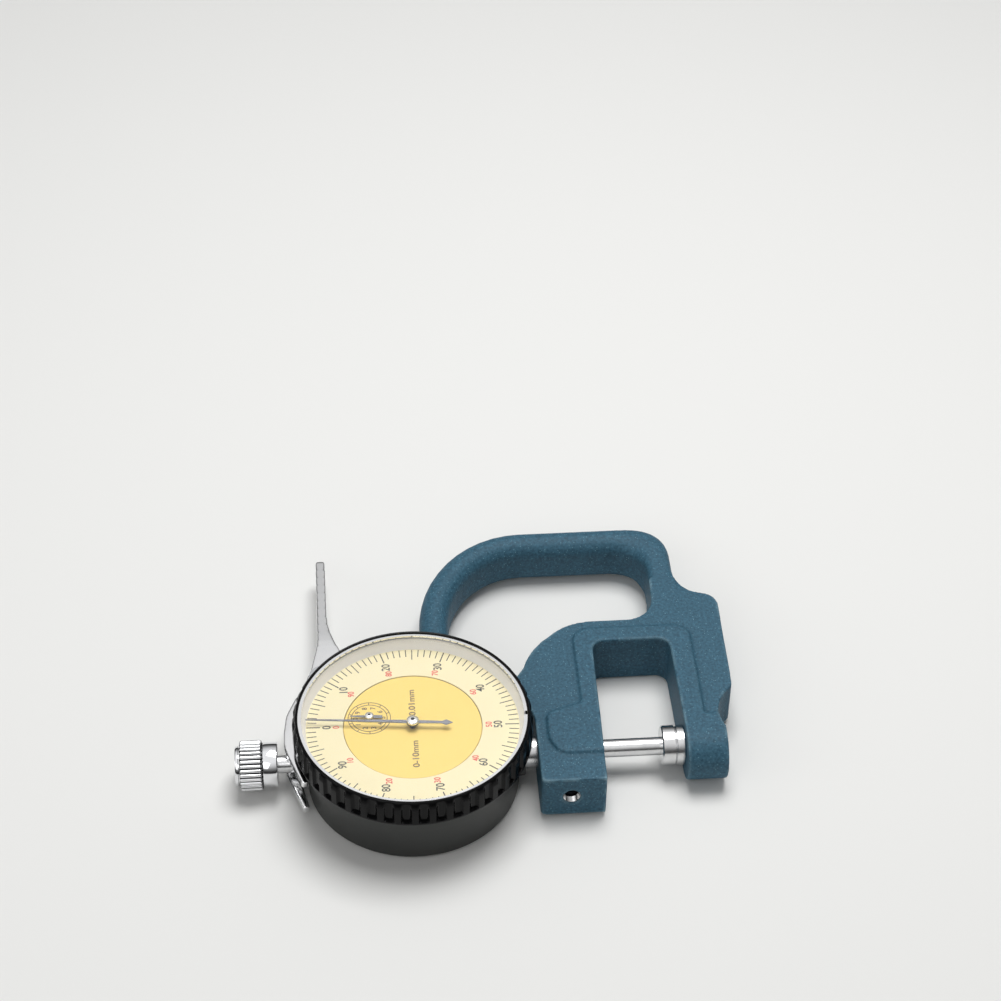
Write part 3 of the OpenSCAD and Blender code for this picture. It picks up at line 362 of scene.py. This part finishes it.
# turning rings: fine rings round the spindle's axis, along it and across the faces
turning, turning_in, turning_out = new_effect("turning_rings", {"Rings": 9000.0}, ["Ring"])
turning_at = turning.nodes.new("ShaderNodeTexCoord")
turning_xyz = turning.nodes.new("ShaderNodeSeparateXYZ")
turning_vector = turning.nodes.new("ShaderNodeCombineXYZ")
turning_noise = turning.nodes.new("ShaderNodeTexNoise")
turning_noise.inputs["Detail"].default_value = 2.0
turning.links.new(turning_at.outputs["Object"], turning_xyz.inputs["Vector"])
turning.links.new(turning_xyz.outputs["X"], turning_vector.inputs["X"])
turning.links.new(spindle_radius(turning, turning_xyz), turning_vector.inputs["Y"])
turning.links.new(turning_vector.outputs["Vector"], turning_noise.inputs["Vector"])
turning.links.new(turning_in.outputs["Rings"], turning_noise.inputs["Scale"])
turning.links.new(turning_noise.outputs["Fac"], turning_out.inputs["Ring"])

steel, steel_skin = new_finish("ground_steel", tint(214, 215, 216), 0.2, 1.0)
steel_rings = place_effect(steel, turning)
steel_marks = place_effect(steel, handling, Patch=420.0)
mottle(steel, steel_skin, steel_marks.outputs["Mask"], tint(196, 197, 199), tint(226, 226, 226))
vary_gloss(steel, steel_skin, steel_rings.outputs["Ring"], 0.1, 0.32)
roughen(steel, steel_skin, steel_rings.outputs["Ring"], 0.12, 0.01 * MM)
dress(steel, "spindle", "contact_disc", "anvil", "stem", "top_bush", "guide_pin", "lever_pin")


# Thread of the clamp screw's hole: tapped through the paint into the bare alloy of the clamp block, so its
# turns shine in the hole's mouth.

THREAD_TURNS = 4
THREAD_PITCH = 0.42 * MM
THREAD_DEPTH = 0.24 * MM
THREAD_ROOT = 0.02 * MM
THREAD_BEHIND = 0.03 * MM
THREAD_SIDES = 64
SOFT_EDGE = math.radians(32)


def turned(name, points, steps):
    """A piece turned round Z: a circle at the first [radius, height] point, extruded from point to point."""
    bpy.ops.object.select_all(action="DESELECT")
    radius, height = points[0]
    bpy.ops.mesh.primitive_circle_add(vertices=steps, radius=radius, location=(0, 0, 0))
    piece = bpy.context.object
    piece.name = name
    bpy.ops.object.mode_set(mode="EDIT")
    bpy.ops.mesh.select_all(action="SELECT")
    bpy.ops.transform.translate(value=(0, 0, height))
    for next_radius, next_height in points[1:]:
        bpy.ops.mesh.extrude_region_move(TRANSFORM_OT_translate={"value": (0, 0, next_height - height)})
        share = next_radius / radius
        bpy.ops.transform.resize(value=(share, share, 1), center_override=(0, 0, next_height))
        radius, height = next_radius, next_height
    bpy.ops.mesh.select_all(action="SELECT")
    bpy.ops.mesh.remove_doubles(threshold=WELD)
    bpy.ops.mesh.fill_holes(sides=0)
    bpy.ops.mesh.normals_make_consistent(inside=False)
    bpy.ops.object.mode_set(mode="OBJECT")
    bpy.ops.object.shade_smooth_by_angle(angle=SOFT_EDGE)
    return piece


def settle(piece, location=(0, 0, 0), rotation=(0, 0, 0), scale=(1, 1, 1)):
    """Moves a piece to its place and puts that place into its mesh."""
    take(piece)
    piece.location, piece.rotation_euler, piece.scale = location, rotation, scale
    bpy.ops.object.transform_apply(location=True, rotation=True, scale=True)
    return piece


screw_low, screw_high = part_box("stem_set_screw")
thread_r = (screw_high.x - screw_low.x) / 2 + THREAD_BEHIND
thread_points = [(thread_r, 0.0)]
for turn in range(THREAD_TURNS):
    thread_points.append((thread_r - THREAD_DEPTH, (turn + 0.5) * THREAD_PITCH))
    thread_points.append((thread_r - THREAD_ROOT, (turn + 1.0) * THREAD_PITCH))
thread_points += [(thread_r, THREAD_TURNS * THREAD_PITCH), (thread_r, 0.0)]
screw_thread = settle(
    turned("screw_hole_thread", thread_points, THREAD_SIDES),
    ((screw_low.x + screw_high.x) / 2, screw_low.y, SPINDLE_Z), (math.pi / 2, 0, 0),
)
screw_thread.data.materials.append(steel)
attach(screw_thread, "gauge_body")


# Case, back cover and lever bracket: die-cast case in satin dark grey enamel, closed by a screwed cover of
# the same colour. The bracket that carries the lever is bent from plain steel and held on the case wall by
# two screws. The movement's screws, posts and springs are of the same steel.

enamel, enamel_skin = new_finish("case_enamel", tint(46, 48, 46), 0.42)
enamel_sand = place_effect(enamel, sand_grain, Grain=4200.0)
enamel_marks = place_effect(enamel, handling, Patch=150.0)
mottle(enamel, enamel_skin, enamel_marks.outputs["Mask"], tint(38, 40, 39), tint(53, 55, 53))
vary_gloss(enamel, enamel_skin, enamel_marks.outputs["Mask"], 0.32, 0.52)
roughen(enamel, enamel_skin, enamel_sand.outputs["Height"], 0.18, 0.04 * MM)
dress(enamel, "case", "back_cover")

screw_steel, screw_skin = new_finish("screw_steel", tint(150, 152, 154), 0.35, 1.0)
screw_marks = place_effect(screw_steel, handling, Patch=900.0)
mottle(screw_steel, screw_skin, screw_marks.outputs["Mask"], tint(126, 128, 131), tint(176, 178, 180))
vary_gloss(screw_steel, screw_skin, screw_marks.outputs["Mask"], 0.25, 0.5)
dress(
    screw_steel, "back_cover_screws", "bracket_screws", "lever_bracket", "movement_screws", "plate_screws",
    "bridge_screws", "spring_post_pin", "hairspring_stud", "return_spring", "hairspring",
)


# Movement: two brass plates on pillars with the wheels between them, the bridge and the guide rail below. The
# brass is lapped and then lightly tarnished. The arbors and the clamp's grub screw get a dark steel colour
# that is painted shade.

# painted shade: a dark steel colour for the arbor ends in the domes' holes and for the grub screw in its hole
painted_shade, painted_shade_skin = new_finish("painted_shade_steel", tint(52, 54, 62), 0.3, 1.0)
painted_shade_marks = place_effect(painted_shade, handling, Patch=1400.0)
mottle(painted_shade, painted_shade_skin, painted_shade_marks.outputs["Mask"], tint(38, 40, 48), tint(66, 68, 76))
dress(painted_shade, "rack_arbor", "centre_arbor", "counter_arbor", "stem_set_screw")

brass, brass_skin = new_finish("movement_brass", tint(205, 170, 88), 0.3, 1.0)
brass_marks = place_effect(brass, handling, Patch=600.0)
mottle(brass, brass_skin, brass_marks.outputs["Mask"], tint(186, 148, 70), tint(220, 188, 110))
vary_gloss(brass, brass_skin, brass_marks.outputs["Mask"], 0.2, 0.42)
dress(
    brass, "rear_plate", "front_plate", "plate_pillars", "lower_bridge", "guide_rail", "first_wheel",
    "takeup_wheel",
)


# Inner dial: a thin disc printed yellow, fixed to the movement by two feet. Its turn counter, a double ring
# with ten marks and numbers, and its two range marks are printed in grey-brown ink.

INK_T = 0.04 * MM
INK_SPREAD = 0.035 * MM
DIGIT_SHARE = 0.69
DIAL_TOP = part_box("dial_plate")[1].z
COUNTER_X, COUNTER_Y = -10.42 * MM, 3.33 * MM
COUNTER_COUNT = 10
COUNTER_INNER, COUNTER_OUTER, COUNTER_LINE = 4.35 * MM, 5.15 * MM, 0.19 * MM
COUNTER_SIDES = 96
COUNTER_DIGIT_R, COUNTER_DIGIT, COUNTER_WIDE = 3.35 * MM, 1.2 * MM, 0.9
WORDS_TALL = 1.55 * MM
STEP_WIDE, STEP_AT = 1.2, (0.15 * MM, 7.85 * MM)
RANGE_WIDE, RANGE_AT = 1.15, (0.35 * MM, -8.95 * MM)

card, card_skin = new_finish("dial_yellow", tint(240, 208, 112), 0.5)
card_marks = place_effect(card, handling, Patch=3200.0)
mottle(card, card_skin, card_marks.outputs["Mask"], tint(240, 206, 104), tint(245, 215, 122))
dress(card, "dial_plate")


def new_ink(name, thin, full):
    """A printing ink whose cover varies a little."""
    ink, ink_skin = new_finish(name, full, 0.55)
    cover = place_effect(ink, handling, Patch=5200.0)
    mottle(ink, ink_skin, cover.outputs["Mask"], thin, full)
    return ink


def printed_words(words, tall, wide, x, y, top):
    """Words in ink on a face at height top, upright towards the knob as on the real dial."""
    bpy.ops.object.select_all(action="DESELECT")
    bpy.ops.object.text_add()
    ink = bpy.context.object
    ink.data.body = words
    ink.data.size = tall / DIGIT_SHARE
    ink.data.align_x = "CENTER"
    ink.data.align_y = "CENTER"
    ink.data.resolution_u = 4
    ink.data.extrude = INK_T / 2
    ink.data.offset = INK_SPREAD
    bpy.ops.object.convert(target="MESH")
    return settle(bpy.context.object, (x, y, top + INK_T / 4), (0, 0, math.pi / 2), (wide, 1, 1))


def printed_ticks(name, ticks, x, y, top):
    """Straight marks round a point; each is (angle, inner radius, outer radius, width)."""
    bpy.ops.object.select_all(action="DESELECT")
    for count, (angle, inner, outer, width) in enumerate(ticks):
        middle = (inner + outer) / 2
        bpy.ops.mesh.primitive_cube_add(
            size=1,
            location=(x + middle * math.cos(angle), y + middle * math.sin(angle), top + INK_T / 4),
            rotation=(0, 0, angle),
            scale=(outer - inner, width, INK_T),
        )
        if count == 0:
            settled = bpy.context.object
            settled.name = name
            bpy.ops.object.transform_apply(location=True, rotation=True, scale=True)
            bpy.ops.object.mode_set(mode="EDIT")
    bpy.ops.object.mode_set(mode="OBJECT")
    return settled


def joined(name, parts):
    """Joins finished pieces into one."""
    take(parts[0])
    for part in parts:
        part.select_set(True)
    bpy.ops.object.join()
    parts[0].name = name
    return parts[0]


def ink_ring(radius, width, x, y, top):
    """A printed circle."""
    low, high = top - INK_T / 4, top + 3 * INK_T / 4
    inner, outer = radius - width / 2, radius + width / 2
    points = [(inner, low), (outer, low), (outer, high), (inner, high), (inner, low)]
    return settle(turned("ink_ring", points, COUNTER_SIDES), (x, y, 0))


brown_ink = new_ink("dial_ink", tint(124, 100, 68), tint(88, 74, 56))
dial_parts = [
    ink_ring(radius, COUNTER_LINE, COUNTER_X, COUNTER_Y, DIAL_TOP)
    for radius in (COUNTER_INNER, COUNTER_OUTER)
]
counter_step = 2 * math.pi / COUNTER_COUNT
dial_parts.append(printed_ticks(
    "counter_ticks",
    [
        ((number + 0.5) * counter_step, COUNTER_INNER, COUNTER_OUTER, COUNTER_LINE)
        for number in range(COUNTER_COUNT)
    ],
    COUNTER_X, COUNTER_Y, DIAL_TOP,
))
for number in range(COUNTER_COUNT):
    number_angle = math.pi + number * counter_step
    dial_parts.append(printed_words(
        str(number), COUNTER_DIGIT, COUNTER_WIDE,
        COUNTER_X + COUNTER_DIGIT_R * math.cos(number_angle),
        COUNTER_Y + COUNTER_DIGIT_R * math.sin(number_angle), DIAL_TOP,
    ))
dial_parts.append(printed_words("0.01mm", WORDS_TALL, STEP_WIDE, *STEP_AT, DIAL_TOP))
dial_parts.append(printed_words("0-10mm", WORDS_TALL, RANGE_WIDE, *RANGE_AT, DIAL_TOP))
dial_print = joined("dial_print", dial_parts)
dial_print.data.materials.clear()
dial_print.data.materials.append(brown_ink)
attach(dial_print, "gauge_body")


# Scale ring: a pale ring that turns with the bezel, printed with a hundred marks. Black numbers run clockwise
# from 0 beside the knob, smaller red ones run the other way.

SCALE_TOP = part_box("scale_ring")[1].z
ZERO_TURN = 2.1
MARKS = 100
MARK_TO, LONG_MARK_FROM, SHORT_MARK_FROM = 25.75 * MM, 22.4 * MM, 23.4 * MM
BOLD_MARK, FINE_MARK = 0.28 * MM, 0.23 * MM
BLACK_R, BLACK_TALL = 20.75 * MM, 2.0 * MM
RED_R, RED_TALL = 18.5 * MM, 1.5 * MM
NUMBER_WIDE = 0.82

cream, cream_skin = new_finish("scale_cream", tint(238, 226, 184), 0.5)
cream_marks = place_effect(cream, handling, Patch=3200.0)
mottle(cream, cream_skin, cream_marks.outputs["Mask"], tint(235, 222, 174), tint(241, 230, 192))
dress(cream, "scale_ring")


def scale_angle(mark):
    """Direction of a mark, counted clockwise from the zero by the knob."""
    return math.radians(180 - ZERO_TURN - 360 * mark / MARKS)


black_ink = new_ink("scale_ink", tint(70, 66, 52), tint(36, 35, 30))
red_ink = new_ink("scale_ink_red", tint(232, 104, 92), tint(214, 64, 58))
scale_ticks = printed_ticks(
    "scale_ticks",
    [
        (
            scale_angle(mark), LONG_MARK_FROM if mark % 5 == 0 else SHORT_MARK_FROM, MARK_TO,
            BOLD_MARK if mark % 10 == 0 else FINE_MARK,
        )
        for mark in range(MARKS)
    ],
    0, 0, SCALE_TOP,
)
black_numbers, red_numbers = [], []
for mark in range(0, MARKS, 10):
    outward = Vector((math.cos(scale_angle(mark)), math.sin(scale_angle(mark))))
    black_at, red_at = BLACK_R * outward, RED_R * outward
    black_numbers.append(
        printed_words(str(mark), BLACK_TALL, NUMBER_WIDE, black_at.x, black_at.y, SCALE_TOP)
    )
    red_numbers.append(
        printed_words(str((MARKS - mark) % MARKS), RED_TALL, NUMBER_WIDE, red_at.x, red_at.y, SCALE_TOP)
    )
scale_print = joined("scale_print", [scale_ticks] + black_numbers)
scale_print_red = joined("scale_print_red", red_numbers)
for piece, ink in ((scale_print, black_ink), (scale_print_red, red_ink)):
    piece.data.materials.clear()
    piece.data.materials.append(ink)
    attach(piece, "bezel_unit")


# White ring: a sloping collar moulded in matt plastic. It sits in the bezel between the scale and the window
# and keeps the window up.

ivory, ivory_skin = new_finish("ring_ivory", tint(252, 251, 250), 0.45)
ivory_marks = place_effect(ivory, handling, Patch=800.0)
mottle(ivory, ivory_skin, ivory_marks.outputs["Mask"], tint(249, 248, 246), tint(255, 254, 253))
dress(ivory, "reflector_ring")


# Bezel: a ring moulded in glossy black plastic, with flutes that the fingers turn it by. The flutes run out
# in the bevelled rim, and a groove under the lip holds the split ring.

FLUTES = 44
FLUTE_STEPS = 16
FLUTE_SHARES = {1: 0.45, 2: 0.92, 3: 1, 4: 1, 5: 1, 6: 1, 7: 1, 8: 0.92, 9: 0.45}
BEZEL_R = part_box("bezel")[1].x
FLUTE_R = BEZEL_R - 0.7 * MM
FLUTE_FOOT = 16.48 * MM
HAIR = 0.01 * MM
FIRM_EDGE = math.radians(40)

gloss, gloss_skin = new_finish("bezel_black", tint(20, 20, 20), 0.16)
gloss_skin.inputs["Specular IOR Level"].default_value = 0.11
gloss_marks = place_effect(gloss, handling, Patch=240.0)
gloss_grain = place_effect(gloss, sand_grain, Grain=5200.0)
mottle(gloss, gloss_skin, gloss_marks.outputs["Mask"], tint(8, 8, 9), tint(16, 16, 17))
vary_gloss(gloss, gloss_skin, gloss_marks.outputs["Mask"], 0.1, 0.26)
roughen(gloss, gloss_skin, gloss_grain.outputs["Height"], 0.06, 0.02 * MM)


def press_in(piece, picked, share):
    """Draws the picked vertices of a turned piece in towards its axis."""
    take(piece)
    bpy.ops.object.mode_set(mode="EDIT")
    bpy.ops.mesh.select_mode(type="VERT")
    bpy.ops.mesh.select_all(action="DESELECT")
    bpy.ops.object.mode_set(mode="OBJECT")
    for vertex in piece.data.vertices:
        vertex.select = picked(vertex.co)
    bpy.ops.object.mode_set(mode="EDIT")
    bpy.ops.transform.resize(value=(share, share, 1), center_override=(0, 0, 0))
    bpy.ops.object.mode_set(mode="OBJECT")


def step_of(point, steps, cycle):
    """Place of a vertex in its flute or ridge."""
    return round(math.atan2(point.y, point.x) / (2 * math.pi) * steps) % cycle


bezel_points = [
    (25.48, 15.65), (28.65, 15.65), (28.95, 15.75), (29.1, 16.0), (29.1, 16.4), (29.1, 16.55), (29.1, 18.8),
    (29.1, 20.7), (29.08, 21.1), (29.0, 21.4), (28.85, 21.75), (28.68, 22.1), (28.5, 22.4), (28.3, 22.7),
    (28.1, 22.85), (27.92, 22.9), (27.76, 22.84), (27.7, 22.72), (27.7, 22.55), (28.1, 22.55), (28.1, 22.0),
    (27.3, 22.0), (27.3, 17.3), (25.48, 17.3), (25.48, 15.65),
]
bezel_points = [(r * MM, z * MM) for r, z in bezel_points]
bezel_ring = turned("bezel_ring", bezel_points, FLUTES * FLUTE_STEPS)
for radius, height in bezel_points:
    if radius > FLUTE_R and height > FLUTE_FOOT:
        for share in sorted(set(FLUTE_SHARES.values())):
            press_in(
                bezel_ring,
                lambda p: (
                    abs(p.z - height) < HAIR and p.xy.length > FLUTE_R
                    and FLUTE_SHARES.get(step_of(p, FLUTES * FLUTE_STEPS, FLUTE_STEPS)) == share
                ),
                1 - share * (radius - FLUTE_R) / radius,
            )
bpy.ops.object.shade_smooth_by_angle(angle=FIRM_EDGE)
bezel_ring.data.materials.append(gloss)
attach(bezel_ring, "bezel_unit")
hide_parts("bezel")


# Window and split ring: a flat clear plastic window, held down by a spring ring of bright wire that is sprung
# into the bezel's groove.

chrome, chrome_skin = new_finish("bright_chrome", tint(226, 227, 229), 0.08, 1.0)
chrome_marks = place_effect(chrome, handling, Patch=180.0)
mottle(chrome, chrome_skin, chrome_marks.outputs["Mask"], tint(232, 233, 235), tint(244, 244, 244))
vary_gloss(chrome, chrome_skin, chrome_marks.outputs["Mask"], 0.04, 0.16)
dress(chrome, "crystal_snap_ring")

window, window_skin = new_finish("clear_window", (1.0, 1.0, 1.0, 1.0), 0.0)
window_skin.inputs["Transmission Weight"].default_value = 1.0
window_skin.inputs["IOR"].default_value = 1.45
window_marks = place_effect(window, handling, Patch=140.0)
vary_gloss(window, window_skin, window_marks.outputs["Mask"], 0.0, 0.02)

# lamp light and light scattered by the dial pass straight through
window_tree = window.node_tree
window_light = window_tree.nodes.new("ShaderNodeLightPath")
window_clear = window_tree.nodes.new("ShaderNodeBsdfTransparent")
window_mix = window_tree.nodes.new("ShaderNodeMixShader")
window_open = math_node(
    window_tree, "MAXIMUM", window_light.outputs["Is Shadow Ray"], window_light.outputs["Is Diffuse Ray"],
)
window_tree.links.new(window_open, window_mix.inputs["Fac"])
window_tree.links.new(window_skin.outputs["BSDF"], window_mix.inputs[1])
window_tree.links.new(window_clear.outputs["BSDF"], window_mix.inputs[2])
window_tree.links.new(window_mix.outputs["Shader"], window_tree.nodes["Material Output"].inputs["Surface"])
dress(window, "crystal")


# Hands: pressed from thin sheet and lacquered grey. Each is riveted to a bright domed boss that is pushed on
# its arbor; the arbor's end is coloured dark as painted shade, so it shows as a dark hole in the dome.

LARGE_BOSS_R, LARGE_BOSS_SINK = 1.55 * MM, 0.25 * MM
SMALL_BOSS_R, SMALL_BOSS_SINK = 1.1 * MM, 0.2 * MM
BOSS_HOLE, BOSS_RIM, BOSS_DOME = 0.3, 0.2, 0.32
BOSS_STEPS = 9
BOSS_SIDES = 48

lacquer, lacquer_skin = new_finish("hand_lacquer", tint(126, 128, 136), 0.35, 0.6)
lacquer_marks = place_effect(lacquer, handling, Patch=900.0)
mottle(lacquer, lacquer_skin, lacquer_marks.outputs["Mask"], tint(84, 86, 94), tint(122, 124, 131))
dress(lacquer, "large_hand", "small_hand")


def domed_boss(name, radius, low, x, y, body):
    """A bright dome over a hand's hub, with a hole for the arbor's end."""
    hole = BOSS_HOLE * radius
    rim = low + BOSS_RIM * radius
    crown = BOSS_DOME * radius
    points = [(hole, low), (radius, low), (radius, rim)]
    for step in range(1, BOSS_STEPS):
        angle = math.radians(90 * step / BOSS_STEPS)
        points.append((hole + (radius - hole) * math.cos(angle), rim + crown * math.sin(angle)))
    points += [(hole, rim + crown), (hole, low)]
    boss = settle(turned(name, points, BOSS_SIDES), (x, y, 0))
    boss.data.materials.append(chrome)
    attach(boss, body)


large_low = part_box("large_hand")[1].z - LARGE_BOSS_SINK
small_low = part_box("small_hand")[1].z - SMALL_BOSS_SINK
domed_boss("large_hand_boss", LARGE_BOSS_R, large_low, 0, 0, "centre_unit")
domed_boss("small_hand_boss", SMALL_BOSS_R, small_low, COUNTER_X, COUNTER_Y, "counter_unit")


# Lever: forged, polished and chromed. A slim horn for the thumb, a hub on the hinge pin and a fork of two
# prongs that straddles the spindle behind the knob. Polishing has rounded every edge.

FORGED_GRAIN = 0.2 * MM
POLISH_PASSES = 26

dress(chrome, "lift_lever")
lever_skin = nodes["lift_lever"].modifiers.new("forged_skin", "REMESH")
lever_skin.mode = "VOXEL"
lever_skin.voxel_size = FORGED_GRAIN
lever_skin.use_smooth_shade = True
lever_polish = nodes["lift_lever"].modifiers.new("polished_edges", "SMOOTH")
lever_polish.factor = 0.5
lever_polish.iterations = POLISH_PASSES


# Knob: turned steel, chromed, pushed on the spindle's end. A plain collar for the lever's fork, a grip with
# straight rounded ridges and a small end boss.

RIDGES = 32
RIDGE_STEPS = 8
RIDGE_SHARES = {2: 0.12, 3: 0.55, 4: 1.0, 5: 0.55, 6: 0.12}
RIDGE_DEPTH = 0.6 * MM
RIDGE_FROM_R = 5.55 * MM
COLLAR_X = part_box("lifting_knob")[1].x
GRIP_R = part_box("lifting_knob")[1].y
GRIP_FROM, GRIP_TO = 3.75 * MM, 9.25 * MM
# the painted shade in the grip's grooves fades out between these two radii
GROOVE_R, BRIGHT_R = GRIP_R - 0.5 * MM, GRIP_R - 0.12 * MM

knob_points = [
    (1.52, 7.0), (1.52, 0.0), (5.15, 0.0), (5.4, 0.1), (5.5, 0.35), (5.5, 3.3), (5.4, 3.6), (5.25, 3.75),
    (5.6, 3.76), (5.95, 3.9), (6.12, 4.15), (6.12, 6.5), (6.12, 8.85), (5.95, 9.1), (5.6, 9.24),
    (4.75, 9.25), (4.75, 9.5), (4.9, 9.6), (4.9, 10.05), (4.75, 10.3), (4.4, 10.4), (2.0, 10.4),
]
knob = turned("knurled_knob", [(r * MM, s * MM) for r, s in knob_points], RIDGES * RIDGE_STEPS)
for share in sorted(set(RIDGE_SHARES.values())):
    press_in(
        knob,
        lambda p: (
            p.xy.length > RIDGE_FROM_R and GRIP_FROM < p.z < GRIP_TO
            and RIDGE_SHARES.get(step_of(p, RIDGES * RIDGE_STEPS, RIDGE_STEPS)) == share
        ),
        1 - share * RIDGE_DEPTH / GRIP_R,
    )
settle(knob, (COLLAR_X, 0, SPINDLE_Z), (0, -math.pi / 2, 0))
bpy.ops.object.shade_smooth_by_angle(angle=FIRM_EDGE)

# painted shade: the grooves of the grip are painted dark, and the rest keeps the bright chrome
grip, grip_skin = new_finish("knurled_chrome", tint(226, 227, 229), 0.1, 1.0)
grip_tree = grip.node_tree
grip_at = grip_tree.nodes.new("ShaderNodeTexCoord")
grip_xyz = grip_tree.nodes.new("ShaderNodeSeparateXYZ")
grip_tree.links.new(grip_at.outputs["Object"], grip_xyz.inputs["Vector"])
grip_unshaded = math_node(
    grip_tree, "MAXIMUM",
    spread(grip, spindle_radius(grip_tree, grip_xyz), 0.0, 1.0, GROOVE_R, BRIGHT_R),
    math_node(
        grip_tree, "ADD",
        math_node(grip_tree, "GREATER_THAN", grip_xyz.outputs["X"], COLLAR_X - GRIP_FROM),
        math_node(grip_tree, "LESS_THAN", grip_xyz.outputs["X"], COLLAR_X - GRIP_TO),
    ),
)
mottle(grip, grip_skin, grip_unshaded, tint(40, 40, 41), tint(228, 229, 231))
vary_gloss(grip, grip_skin, grip_unshaded, 0.4, 0.09)
knob.data.materials.append(grip)
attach(knob, "spindle_unit")
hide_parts("lifting_knob")


# Studio: a pale floor, one large soft lamp overhead and behind, two weaker ones at the side and in front, and
# a bright room round them that only the camera, the metal and the window see.

ROOM_STEPS = [(0.0, 0.03), (0.2, 0.05), (0.4, 0.25), (0.62, 0.66), (0.86, 1.0)]
ROOM_LIGHT = 0.26

bpy.ops.object.select_all(action="DESELECT")
bpy.ops.mesh.primitive_plane_add(size=6, location=(0, 0, 0))
floor = bpy.context.object
floor.name = "floor"
floor_finish, floor_skin = new_finish("floor_pale", tint(233, 233, 231), 0.7)
floor_skin.inputs["Specular IOR Level"].default_value = 0.2
floor.data.materials.append(floor_finish)


def soft_lamp(name, size, watts, place, target):
    """A square area lamp that looks at a point."""
    data = bpy.data.lights.new(name, "AREA")
    data.size = size
    data.energy = watts
    lamp = bpy.data.objects.new(name, data)
    bpy.context.collection.objects.link(lamp)
    lamp.location = place
    lamp.rotation_euler = (Vector(target) - Vector(place)).to_track_quat("-Z", "Y").to_euler()


soft_lamp("overhead_lamp", size=0.42, watts=4.7, place=(0.1, 0.2, 0.75), target=(0.02, 0.03, 0.0))
soft_lamp("side_lamp", size=0.4, watts=0.5, place=(-0.75, -0.2, 0.42), target=(0.0, 0.0, 0.01))
soft_lamp("front_lamp", size=0.5, watts=0.9, place=(-0.3, -0.6, 0.6), target=(0.02, 0.02, 0.01))

room = bpy.data.worlds.new("studio")
bpy.context.scene.world = room
room.use_nodes = True
room_tree = room.node_tree
room_paths = room_tree.nodes.new("ShaderNodeLightPath")
room_at = room_tree.nodes.new("ShaderNodeTexCoord")
room_xyz = room_tree.nodes.new("ShaderNodeSeparateXYZ")
room_ramp = room_tree.nodes.new("ShaderNodeValToRGB")
for place, _ in ROOM_STEPS[2:]:
    room_ramp.color_ramp.elements.new(place)
for step, (place, grey) in zip(room_ramp.color_ramp.elements, ROOM_STEPS):
    step.position = place
    step.color = (grey, grey, grey, 1)
room_tree.links.new(room_at.outputs["Generated"], room_xyz.inputs["Vector"])
room_tree.links.new(room_xyz.outputs["Z"], room_ramp.inputs["Fac"])
room_seen = math_node(
    room_tree, "MAXIMUM", room_paths.outputs["Is Camera Ray"],
    math_node(
        room_tree, "MAXIMUM", room_paths.outputs["Is Glossy Ray"], room_paths.outputs["Is Transmission Ray"],
    ),
)
room_first = math_node(room_tree, "LESS_THAN", room_paths.outputs["Diffuse Depth"], 0.5)
room_colour = mix_colours(
    room, math_node(room_tree, "MULTIPLY", room_seen, room_first),
    (ROOM_LIGHT, ROOM_LIGHT, ROOM_LIGHT, 1), room_ramp.outputs["Color"],
)
room_tree.links.new(room_colour, room_tree.nodes["Background"].inputs["Color"])


# Camera: at the photograph's viewing angle and distance, with its focal length and its slight roll. The lens
# is worked out from the focal length in the photograph's own pixels.

CAMERA_AZIMUTH, CAMERA_ELEVATION = math.radians(-4.86), math.radians(41.8)
CAMERA_ROLL = math.radians(0.86)
CAMERA_AT = (-13.263 * MM, -396.904 * MM, 446.839 * MM)
PHOTO_WIDTH = 1001
FOCAL_PIXELS = 2400
SENSOR_WIDTH = 36

camera_data = bpy.data.cameras.new("photo_camera")
camera = bpy.data.objects.new("photo_camera", camera_data)
bpy.context.collection.objects.link(camera)
camera_data.sensor_width = SENSOR_WIDTH
camera_data.lens = SENSOR_WIDTH * FOCAL_PIXELS / PHOTO_WIDTH
camera_data.clip_start, camera_data.clip_end = 0.01, 20
level = Vector((math.cos(CAMERA_AZIMUTH), math.sin(CAMERA_AZIMUTH), 0))
back = Vector((
    math.sin(CAMERA_AZIMUTH) * math.cos(CAMERA_ELEVATION),
    -math.cos(CAMERA_AZIMUTH) * math.cos(CAMERA_ELEVATION),
    math.sin(CAMERA_ELEVATION),
))
upward = back.cross(level)
right = level * math.cos(CAMERA_ROLL) + upward * math.sin(CAMERA_ROLL)
up = upward * math.cos(CAMERA_ROLL) - level * math.sin(CAMERA_ROLL)
camera.matrix_world = Matrix.Translation(CAMERA_AT) @ Matrix((right, up, back)).transposed().to_4x4()
bpy.context.scene.camera = camera
bpy.context.scene.view_settings.view_transform = "Standard"
